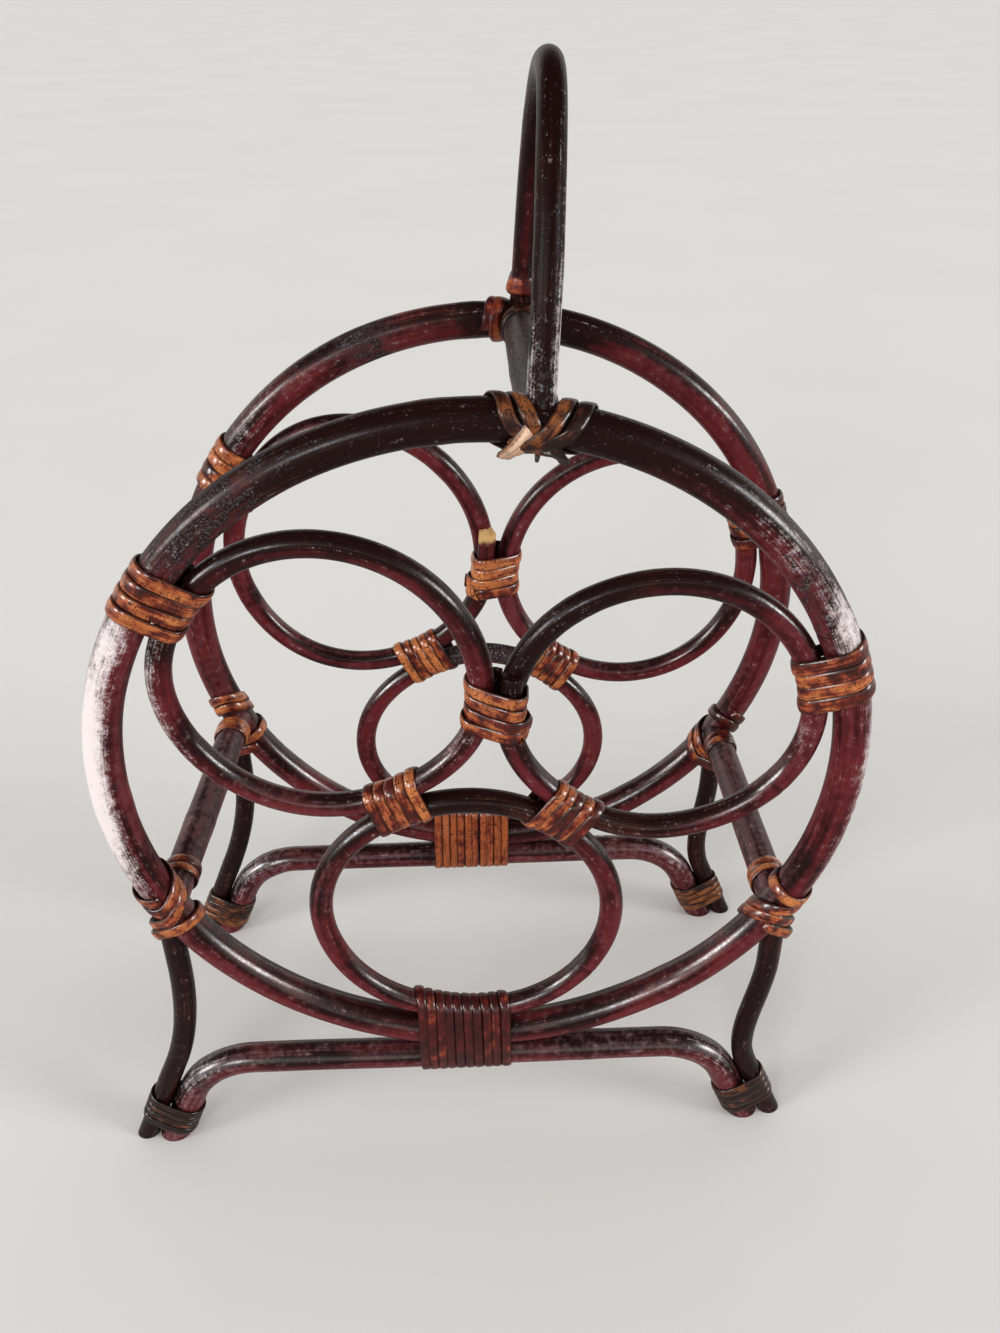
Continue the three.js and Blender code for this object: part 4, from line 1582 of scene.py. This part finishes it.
    def _foot(self, side: int) -> tuple[Array, Array, Array, Array]:
        """Lay out a foot.

        Args:
            side: -1 for the left foot, 1 for the right one.

        Returns:
            Its upward and outward directions, and where its leg and stretcher stand.
        """
        kick = math.radians(SIZES.foot_kick)
        up = np.array([-side * math.sin(kick), 0.0, math.cos(kick)])
        out = np.array([side * math.cos(kick), 0.0, math.sin(kick)])
        half = (SIZES.leg + SIZES.stretcher + SIZES.seat) / 2
        floor = np.array([self.base_x + side * SIZES.foot_spread / 2, self.y, 0.0])
        leg = floor + out * (half - SIZES.leg / 2)
        stretcher = floor + out * (SIZES.stretcher / 2 - half)
        return up, out, leg, stretcher

    def _stretcher(self) -> Cane:
        """Lay out the foot stretcher from floor to floor.

        Returns:
            The stretcher.
        """
        kick = math.radians(SIZES.foot_kick)
        drop = SIZES.stretcher_bend * (1 - math.sin(kick))
        parts = []
        for side in (-1, 1):
            up, _, _, foot = self._foot(side)
            knee = foot + up * (SIZES.stretcher_height - drop - foot[2]) / up[2]
            level_x = knee[0] - side * SIZES.stretcher_bend * math.cos(kick)
            level = np.array([level_x, self.y, SIZES.stretcher_height])
            start = foot - up * SIZES.stretcher
            rise = bend(Pass(knee, up), Pass(level, AXIS_X * -side))
            parts.append(joined(straight_line(start, knee), rise))
        line = joined(parts[0], straight_line(parts[0][-1], parts[1][-1]), parts[1][::-1])
        return Cane(
            f"{self.shape.name}_stretcher_cane", line, SIZES.stretcher / 2, Slot.FOOT,
            self.seed + 0.61, sides=24, on_floor=True, nodes_apart=170.0,
            worn=(Worn(0.2, 50, 0.3), Worn(0.75, 60, 0.3)),
            # Painted highlights on the tops of both bends
            painted_highlights=(PaintedHighlight(0.16, 36, 0.55, (-0.3, -0.5, 0.8)), PaintedHighlight(0.84, 36, 0.4, (0.3, -0.5, 0.8))),
        )

    def _leg(self, side: int) -> Cane:
        """Lay out a leg from the floor to the underside of the hoop.

        Args:
            side: -1 for the left leg, 1 for the right one.

        Returns:
            The leg.
        """
        shape = self.shape
        below = SIZES.leg_below_rail
        angle = shape.rail_left + below if side < 0 else shape.rail_right - below
        contact = self.on_hoop(angle, shape.hoop_radius + SIZES.hoop / 2)
        offset = contact[0] - self.centre[0]
        summit = contact.copy()
        summit[2] = self.centre[2] - math.sqrt(shape.hoop_radius**2 - offset**2)
        up, _, foot, _ = self._foot(side)
        shoulder = contact - AXIS_Z * SIZES.leg_top_straight
        knee = foot + up * SIZES.leg_foot_straight[side > 0]
        reach = float(np.linalg.norm(shoulder - knee)) / 3
        line = joined(
            straight_line(foot - up * SIZES.leg, knee),
            cubic(knee, knee + up * reach, shoulder - AXIS_Z * reach, shoulder),
            straight_line(shoulder, summit),
        )
        name = "left" if side < 0 else "right"
        return Cane(
            f"{shape.name}_{name}_leg_cane", line, SIZES.leg / 2, Slot.FOOT,
            self.seed + 0.7 + 0.05 * side, sides=20, on_floor=True, nodes_apart=120.0,
            # Painted shade along the middle of the leg
            painted_shade_spots=(Worn(0.5, 220, 0.6),),
        )

    def ring_joint(self, degrees: float) -> Joint:
        """Give the joint at an angle round the hoop."""
        return Joint(self.on_hoop(degrees), tangent(degrees), spoke(degrees), self.inward)

    def _even(
        self, name: str, canes: Sequence[Cane], joint: Joint, strip: Strip, slot: Slot, stain: float
    ) -> Winding:
        """Lay out a wrap with even turns, its ends tucked in behind.

        Args:
            name: The CAD node's name without the frame's.
            canes: What it holds.
            joint: Where it is.
            strip: What it is wound with.
            slot: Its finish.
            stain: How much darker than its finish.

        Returns:
            The wrap.
        """
        tuck = 0.25 if self.shape.side < 0 else 0.75
        seed = self.seed + seed_of(name, 97, 0.173)
        return Winding(
            f"{self.shape.name}_{name}_peel", canes, joint, strip, slot, seed, tuck,
            tuck + strip.turns, lambda t: (t - tuck - strip.turns / 2) * strip.pitch, stain=stain,
        )

    def wraps(self) -> dict[str, Winding]:
        """Lay out the even wraps.

        Returns:
            The wraps by the name of their CAD node without the frame's.
        """
        shape = self.shape
        left, right, lower = (self.loops[k] for k in ("left", "right", "lower"))
        rear = shape.side > 0
        pale = -0.2 if rear else 0.0
        peel = Slot.PEEL
        at_left, at_right = (self.ring_joint(a) for a in (shape.wrap_left, shape.wrap_right))
        under = Joint(self.on_hoop(shape.wrap_bottom), AXIS_X, -AXIS_Z, self.inward)
        bottom = [self.hoop, lower, self.stretcher]
        rows = [
            ("left_hoop_wrap", [self.hoop, left], at_left, HOOP_STRIP, peel, -0.03),
            ("right_hoop_wrap", [self.hoop, right], at_right, HOOP_STRIP, peel, 0.25),
        ]
        for name, canes, binding, strip, stain in (
            ("centre_wrap", [left, right], shape.centre, CENTRE_STRIP, 0.15 + 3 * pale),
            ("inner_left_wrap", [left, lower], shape.inner_left, INNER_STRIP, pale - 0.1),
            ("inner_right_wrap", [right, lower], shape.inner_right, INNER_STRIP, 0.2 + pale),
        ):
            at = self.knot + spoke(binding.angle) * binding.reach
            joint = Joint(at, spoke(binding.angle), tangent(binding.angle), self.inward)
            rows.append((name, canes, joint, strip, peel, stain))
        stain = -0.4 if rear else 0.62
        rows.append(("bottom_wrap", bottom, under, BOTTOM_STRIP, Slot.PEEL_RED, stain))
        for side, name, leg in ((-1, "left", self.legs[0]), (1, "right", self.legs[1])):
            up, out, _, _ = self._foot(side)
            floor = np.array([self.base_x + side * SIZES.foot_spread / 2, self.y, 0.0])
            joint = Joint(floor + up * SIZES.foot_wrap_height, up, out, self.inward)
            stain = (0.1 if rear else 0.7) - 0.3 * (side > 0)
            canes = [leg, self.stretcher]
            rows.append((f"{name}_foot_wrap", canes, joint, FOOT_STRIP, Slot.PEEL_DARK, stain))
        made = {row[0]: self._even(*row) for row in rows}
        made["bottom_wrap"].loose = 0.75
        return made

    def build(self) -> None:
        """Make and dress the frame's canes and even wraps."""
        name = self.shape.name
        pieces = {
            "hoop": self.hoop, "foot_stretcher": self.stretcher,
            "left_leg": self.legs[0], "right_leg": self.legs[1],
            **{f"{k}_loop": v for k, v in self.loops.items()},
        }
        for node, cane in pieces.items():
            self.shop.dress(cane.build(), cane.slot, f"{name}_{node}")
        for node, winding in self.wraps().items():
            self.shop.dress(winding.build(), winding.slot, f"{name}_{node}")


def quarter_course(stops: Sequence[float], first: float) -> Callable[[float], float]:
    """Run a smooth course through distances given at every quarter turn.

    Args:
        stops: The distances along the joint.
        first: The turn of the first one.

    Returns:
        A function from a turn to a distance.
    """

    def course(turn: float) -> float:
        """Give the distance at a turn.

        Args:
            turn: The turn.

        Returns:
            The distance along the joint.
        """
        at = min(max((turn - first) * 4, 0.0), len(stops) - 1.0)
        i = min(int(at), len(stops) - 2)
        t = at - i
        a, b, c, d = (stops[min(max(i + k, 0), len(stops) - 1)] for k in (-1, 0, 1, 2))
        square, cube = 2 * a - 5 * b + 4 * c - d, 3 * b - a - 3 * c + d
        return 0.5 * (2 * b + (c - a) * t + square * t**2 + cube * t**3)

    return course


@dataclass(frozen=True)
class Tag:
    """A loose strip end on the front top lashing, from where it starts to its raised tip."""

    name: str
    turns: tuple[float, float]
    stations: tuple[float, float]
    width: float
    slot: Slot
    stain: float
    raised: float
    frayed: float = 2.6


TAGS = (
    # The pale tag's faded tone is partly a painted highlight on that loose end
    Tag("front_top_tag_pale", (0.74, 0.57), (3.0, 9.5), 7.6, Slot.PEEL, -1.5, 2.6, 2.2),
    Tag("front_top_tag_long", (0.62, 0.5), (8.5, -5.0), 4.4, Slot.PEEL, -0.3, 2.6, 2.0),
    Tag("front_top_tag_dark", (0.7, 0.55), (-3.0, -9.0), 5.0, Slot.PEEL_DARK, 0.6, 2.6),
    Tag("front_top_tag_nub", (0.6, 0.5), (0.0, -1.0), 2.0, Slot.PEEL_DARK, 0.6, 3.6, 3.4),
)


class Lashings:
    """The windings that hold rails, bar and handle to the hoops.

    Attributes:
        room: Between a strip and what it passes.
        parting: What a parted strip takes up beside what it passes.
        crossing: The same for the crossed strip.
        climb: How far a crossed strip lies over the one under it.
    """

    room: float = 2.0
    parting: float = 3.6
    crossing: float = 3.4
    climb: float = 1.5

    def __init__(self, end: EndFrame, shop: Workshop) -> None:
        """Keep the end frame and the workshop."""
        self.end = end
        self.shop = shop

    def _parted(
        self,
        node: str,
        degrees: float,
        canes: list[Cane],
        behind: float,
        above: float,
        strip: Strip = LASHING_STRIP,
    ) -> Winding:
        """Lay out a lashing whose turns part behind the hoop to pass a crosspiece.

        Args:
            node: The CAD node's name without the frame's.
            degrees: Where it is on the hoop.
            canes: What it holds.
            behind: The diameter of the crosspiece.
            above: The diameter of what stands on the hoop, or 0.
            strip: What it is wound with.

        Returns:
            The lashing.
        """
        ranks = [i - (strip.turns - 1) / 2 for i in range(strip.turns)]

        def fan(rank: float, diameter: float) -> float:
            """Give where a turn passes beside something.

            Args:
                rank: The turn's place among the others, 0 in the middle.
                diameter: What it passes, or 0.

            Returns:
                The distance along the joint.
            """
            clear = (diameter + self.parting) / 2 + self.room if diameter else 0.0
            apart = max(abs(rank) * strip.pitch, clear + (abs(rank) - 0.5) * strip.pitch)
            return math.copysign(apart, rank)

        course: list[float] = []
        for i, rank in enumerate(ranks):
            face, back = rank * strip.pitch, fan(rank, behind)
            course += [face, fan(rank, above) if above else (face + back) / 2, back]
            if i < len(ranks) - 1:
                course.append((back + ranks[i + 1] * strip.pitch) / 2)
        first = -0.25
        name = f"{self.end.shape.name}_{node}"
        return Winding(
            f"{name}_peel", canes, self.end.ring_joint(degrees), strip, Slot.PEEL,
            self.end.seed + degrees * 0.011, first, first + (len(course) - 1) / 4,
            quarter_course(course, first), seat=0.45, shingle=3.0,
        )

    def _crossed(self) -> Winding:
        """Lay out the front top lashing, which crosses itself under the handle's foot.

        Returns:
            The lashing.
        """
        strip = CROSS_STRIP
        back = (SIZES.bar + self.crossing) / 2 + self.room
        top = (SIZES.handle + self.crossing) / 2 + self.room - 0.5
        step = strip.pitch
        course = [
            -9.0, 2.2, top, back,
            10.0, -8.6, -top - step, -back - step,
            -12.0, 8.6, top + step, back + step,
            12.0, -2.2, -top, -back,
        ]
        first = -0.5

        def lift(turn: float) -> float:
            """Raise every other crossing on the hoop's face over the one before.

            Args:
                turn: The turn.

            Returns:
                How far it is raised.
            """
            phase = turn - math.floor(turn)
            on_face = min(max((0.17 - abs(phase - 0.68)) / 0.07, 0.0), 1.0)
            return self.climb * on_face if round(turn + 0.25) % 2 else 0.0

        return Winding(
            "front_top_lashing_peel", [self.end.hoop], self.end.ring_joint(self.end.shape.top),
            strip, Slot.PEEL_DARK, 4.4, first, first + (len(course) - 1) / 4,
            quarter_course(course, first), lift, seat=0.3, shingle=0.0, steps=48, stain=0.0,
        )

    def _tag(self, tag: Tag) -> Winding:
        """Lay out a loose strip end, lying over the lashing with its tip standing off.

        Args:
            tag: Which one.

        Returns:
            The loose end.
        """
        first, last = tag.turns
        start, end = tag.stations

        def share(turn: float) -> float:
            """Give how much of the loose end lies before a turn."""
            return abs(turn - first) / abs(last - first)

        return Winding(
            tag.name, [self.end.hoop], self.end.ring_joint(self.end.shape.top),
            Strip(tag.width, 1.0, 0.0, 1), tag.slot, 4.0 + tag.width, first, last,
            lambda turn: start + (end - start) * share(turn),
            lambda turn: tag.raised * share(turn),
            seat=0.3, steps=60, stain=tag.stain, shingle=0.0, frayed=tag.frayed,
        )

    def build(self) -> None:
        """Make and dress the lashings of one end frame."""
        shape = self.end.shape
        sides = (("left", shape.rail_left, 0), ("right", shape.rail_right, 1))
        for side, degrees, i in sides:
            node = f"{side}_rail_lashing"
            canes = [self.end.hoop, self.end.legs[i]]
            winding = self._parted(node, degrees, canes, SIZES.rail, 0.0)
            winding.stain = 0.55 if side == "right" and shape.side > 0 else 0.0
            self.shop.dress(winding.build(), winding.slot, f"{shape.name}_{node}")
        if shape.side < 0:
            winding = self._crossed()
            for tag in TAGS:
                self.shop.dress(self._tag(tag).build(), tag.slot)
        else:
            winding = self._parted(
                "top_lashing", shape.top, [self.end.hoop], SIZES.bar, SIZES.handle, TOP_STRIP
            )
            winding.slot = Slot.PEEL_RED
            winding.shingle = 12.0
            winding.stain = 0.4
        self.shop.dress(winding.build(), winding.slot, f"{shape.name}_top_lashing")


class Crosspieces:
    """The rails, the bar and the handle between the end frames, with their collars."""

    def __init__(self, ends: Sequence[EndFrame], shop: Workshop) -> None:
        """Lay out the canes between the two frames.

        Args:
            ends: The front and the rear frame.
            shop: Where its finishes come from.
        """
        self.ends = ends
        self.shop = shop
        rail, bar = SIZES.rail / 2, SIZES.bar / 2
        shapes = [end.shape for end in ends]
        left, right, top = zip(*((s.rail_left, s.rail_right, s.top) for s in shapes))
        self.left = self._between("left_rail", left, rail, Slot.RAIL)
        self.right = self._between("right_rail", right, rail, Slot.RAIL)
        self.bar = self._between("top_bar", top, bar, Slot.BAR)
        self.handle = self._handle()

    def _between(self, name: str, angles: Sequence[float], radius: float, slot: Slot) -> Cane:
        """Lay out a straight cane from hoop to hoop.

        Args:
            name: The CAD node's name.
            angles: Where it meets the front and the rear hoop.
            radius: Its radius.
            slot: Its finish.

        Returns:
            The cane.
        """
        front, rear = (end.on_hoop(angle) for end, angle in zip(self.ends, angles))
        seed = 3.0 + seed_of(name, 89, 0.1)
        return Cane(
            f"{name}_cane", straight_line(front, rear), radius, slot, seed, sides=24,
            worn=(Worn(0.5, 110, 0.5),), wander=0.25,
        )

    def _handle(self) -> Cane:
        """Lay out the arched handle.

        Returns:
            The handle.
        """
        front, rear = (end.on_hoop(end.shape.top) for end in self.ends)
        lean = math.radians(SIZES.handle_lean)
        rise = np.array([math.sin(lean), 0.0, math.cos(lean)])
        back = unit(rear - front)
        apex = (front + rear) / 2 + rise * SIZES.handle_rise
        halves = [
            cubic(
                foot,
                foot + rise * SIZES.handle_flank + back * way * SIZES.handle_tuck,
                apex - back * way * SIZES.handle_shoulder,
                apex,
            )
            for foot, way in ((front, 1), (rear, -1))
        ]
        return Cane(
            "handle_cane", joined(halves[0], halves[1][::-1]), SIZES.handle / 2, Slot.FRAME, 5.2,
            sides=24, worn=(Worn(0.06, 60, 0.8),), nodes_apart=130.0, rim=0.35,
            # Painted shade over most of the handle, and painted highlights at both edges near the
            # front foot
            painted_shade_spots=(Worn(0.25, 190, 0.85), Worn(0.55, 170, 0.6), Worn(1.0, 50, 0.5)),
            painted_highlights=(PaintedHighlight(0.04, 40, 0.6, (-0.98, -0.2, 0.0)), PaintedHighlight(0.06, 110, 0.7, (0.98, -0.2, 0.0))),
        )

    def _collar(
        self,
        name: str,
        cane: Cane,
        at: Array,
        direction: Array,
        distance: float,
        strip: Strip = COLLAR_STRIP,
        slot: Slot = Slot.PEEL,
        shingle: float = 5.0,
        stain: float = 0.0,
        node: Optional[str] = None,
    ) -> None:
        """Make and dress a collar round a cane.

        Args:
            name: The piece's name.
            cane: What it is wound round.
            at: The cane's end.
            direction: The direction from there along the cane.
            distance: How far along the collar's middle is.
            strip: What it is wound with.
            slot: Its finish.
            shingle: How far its turns flare, in degrees.
            stain: How much darker than its finish.
            node: The CAD node that it stands for, if any.
        """
        across = unit(np.cross(direction, AXIS_X))
        joint = Joint(at + direction * distance, direction, across, np.cross(direction, across))
        tuck = 0.5 if across[2] > 0.5 else 0.0
        winding = Winding(
            name, [cane], joint, strip, slot, 6.0 + seed_of(name, 83, 0.1), tuck,
            tuck + strip.turns + 0.1, lambda t: (t - tuck - strip.turns / 2) * strip.pitch,
            shingle=shingle, stain=stain,
        )
        self.shop.dress(winding.build(), slot, node)

    def build(self) -> None:
        """Make and dress the canes and their collars."""
        for cane, node in (
            (self.left, "left_rail"), (self.right, "right_rail"),
            (self.bar, "top_bar"), (self.handle, "handle"),
        ):
            self.shop.dress(cane.build(), cane.slot, node)
        strip = COLLAR_STRIP
        face = SIZES.hoop / 2 + SIZES.lashing
        distance = face + 3 * SIZES.seat + (strip.turns + 1) * strip.pitch / 2
        for side, cane in (("left", self.left), ("right", self.right)):
            for end, start, other in ((self.ends[0], 0, -1), (self.ends[1], -1, 0)):
                at = cane.points[start]
                direction = unit(cane.points[other] - at)
                node = f"{end.shape.name}_{side}_rail_collar"
                stain = 0.6 if side == "right" and end.shape.side > 0 else 0.0
                self._collar(
                    f"{node}_peel", cane, at, direction, distance, stain=stain, node=node
                )
        foot = self.handle.points[-1]
        upwards = unit(self.handle.points[-8] - foot)
        self._collar(
            "handle_collar_peel", self.handle, foot, upwards, distance, HANDLE_STRIP,
            Slot.PEEL_RED, 16.0, 0.6, "handle_collar",
        )
        at = self.bar.points[-1]
        direction = unit(self.bar.points[0] - at)
        self._collar(
            "bar_end_rings", self.bar, at, direction, SIZES.bar_rings, RING_STRIP,
            Slot.PEEL_DARK, 28.0, 0.6,
        )


class Nails:
    """The wire nails, which keep their CAD shape."""

    def __init__(self, shop: Workshop) -> None:
        """Keep the workshop."""
        self.shop = shop

    def build(self) -> None:
        """Give every nail its steel."""
        steel = self.shop.finish(Slot.NAIL)
        for name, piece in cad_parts.items():
            if name.endswith("_nail"):
                piece.data.materials.clear()
                piece.data.materials.append(steel)
                log.info("%s: kept from the CAD", name)


# Camera, light and floor


@dataclass(frozen=True)
class View:
    """Where the camera stands, in millimetres from a point midway between the frames."""

    at: tuple[float, float, float] = (-6.8, -428.1, 484.0)
    yaw: float = 2.24
    pitch: float = 32.01
    roll: float = 0.43
    focal_pixels: float = 1147.7
    frame_pixels: float = 1000.0


@dataclass(frozen=True)
class Lamp:
    """A distant soft lamp: where its light comes from, its strength and its width in degrees."""

    name: str
    towards: tuple[float, float, float]
    strength: float
    width: float


LAMPS = (
    Lamp("left_lamp", (-0.86, -0.42, 0.3), 1.4, 20.0),
    Lamp("front_lamp", (-0.42, -0.83, 0.36), 0.75, 17.0),
    Lamp("right_lamp", (0.9, -0.35, 0.3), 1.4, 20.0),
)


# The room's light, and the tent that is seen: it grows dark between two heights of the sky
ROOM_LIGHT = 0.62
TENT_PALE = paint("e2e0dc")
TENT_DARK = paint("2e2c2c")
TENT_DIMS = (0.27, 0.5)
FLOOR_RADIUS = 60.0
FLOOR = Paper(paint("e6e4e1"), paint("dedcd8"))


class Studio:
    """The camera, lamps, world and floor."""

    def __init__(self, view: View, front: EndFrame) -> None:
        """Keep the view and the frame that it was measured from."""
        self.view = view
        self.front = front

    def _camera(self) -> None:
        """Make the camera at the photograph's viewing angle."""
        view = self.view
        yaw, pitch, roll = (math.radians(a) for a in (view.yaw, view.pitch, view.roll))
        forward = Vector(
            (math.sin(yaw) * math.cos(pitch), math.cos(yaw) * math.cos(pitch), -math.sin(pitch))
        )
        level = Vector((math.cos(yaw), -math.sin(yaw), 0.0))
        down = forward.cross(level)
        right = level * math.cos(roll) + down * math.sin(roll)
        up = level * math.sin(roll) - down * math.cos(roll)
        data = bpy.data.cameras.new("photo_camera")
        data.sensor_fit = "HORIZONTAL"
        data.lens = view.focal_pixels / view.frame_pixels * data.sensor_width
        data.clip_start = 0.01
        camera = bpy.data.objects.new("photo_camera", data)
        axes = Matrix((right, up, -forward)).transposed()
        origin = Vector((self.front.centre[0], self.front.y + SIZES.spacing / 2, 0.0))
        camera.matrix_world = Matrix.Translation((origin + Vector(view.at)) * MM) @ axes.to_4x4()
        bpy.context.scene.collection.objects.link(camera)
        bpy.context.scene.camera = camera

    def _lamps(self) -> None:
        """Hang the soft lamps."""
        for lamp in LAMPS:
            data = bpy.data.lights.new(lamp.name, "SUN")
            data.energy = lamp.strength
            data.angle = math.radians(lamp.width)
            made = bpy.data.objects.new(lamp.name, data)
            made.location = lamp.towards
            made.rotation_euler = Vector(lamp.towards).to_track_quat("Z", "Y").to_euler()
            bpy.context.scene.collection.objects.link(made)

    def _world(self) -> None:
        """Give the world an even light, and a pale background where it is seen."""
        world = bpy.data.worlds.new("studio")
        sheet = Sheet(world)
        place = sheet.node("ShaderNodeTexCoord", {}, {}, "Generated")
        height = sheet.node("ShaderNodeSeparateXYZ", {}, {0: place}, "Z")
        tent = sheet.blend(height.between(*TENT_DIMS), TENT_PALE, TENT_DARK)
        values: dict[Key, object] = {"Color": paint("ffffff"), "Strength": ROOM_LIGHT}
        light = sheet.node("ShaderNodeBackground", {}, values)
        back = sheet.node("ShaderNodeBackground", {}, {"Color": tent, "Strength": 1.0})
        camera, mirror, glass = (
            sheet.node("ShaderNodeLightPath", {}, {}, f"Is {kind} Ray")
            for kind in ("Camera", "Glossy", "Transmission")
        )
        settings: dict[str, object] = {"operation": "MAXIMUM"}
        seen = sheet.node("ShaderNodeMath", settings, {0: camera, 1: mirror})
        seen = sheet.node("ShaderNodeMath", settings, {0: seen, 1: glass})
        mixed = sheet.node("ShaderNodeMixShader", {}, {0: seen, 1: light, 2: back})
        sheet.end("ShaderNodeOutputWorld", mixed)
        bpy.context.scene.world = world

    def _floor(self) -> None:
        """Lay the round pale floor."""
        work = bmesh.new()
        bmesh.ops.create_circle(work, cap_ends=True, segments=96, radius=FLOOR_RADIUS)
        mesh = bpy.data.meshes.new("floor")
        work.to_mesh(mesh)
        work.free()
        mesh.materials.append(FLOOR.make("floor_paper"))
        floor = bpy.data.objects.new("floor", mesh)
        bpy.context.scene.collection.objects.link(floor)

    def build(self) -> None:
        """Set up everything that isn't the rack."""
        self._camera()
        self._lamps()
        self._world()
        self._floor()
        bpy.context.scene.view_settings.view_transform = "Standard"
        log.info("studio: camera, %d lamps, world and floor", len(LAMPS))


def main() -> None:
    """Build the rack's looks piece by piece, and the studio round them."""
    logging.basicConfig(level=logging.INFO, format="%(name)s: %(message)s")
    shop = Workshop()
    ends = [EndFrame(FRONT, shop), EndFrame(REAR, shop)]
    Studio(View(), ends[0]).build()
    for end in ends:
        end.build()
        Lashings(end, shop).build()
    Crosspieces(ends, shop).build()
    Nails(shop).build()


if __name__ == "__main__":
    main()
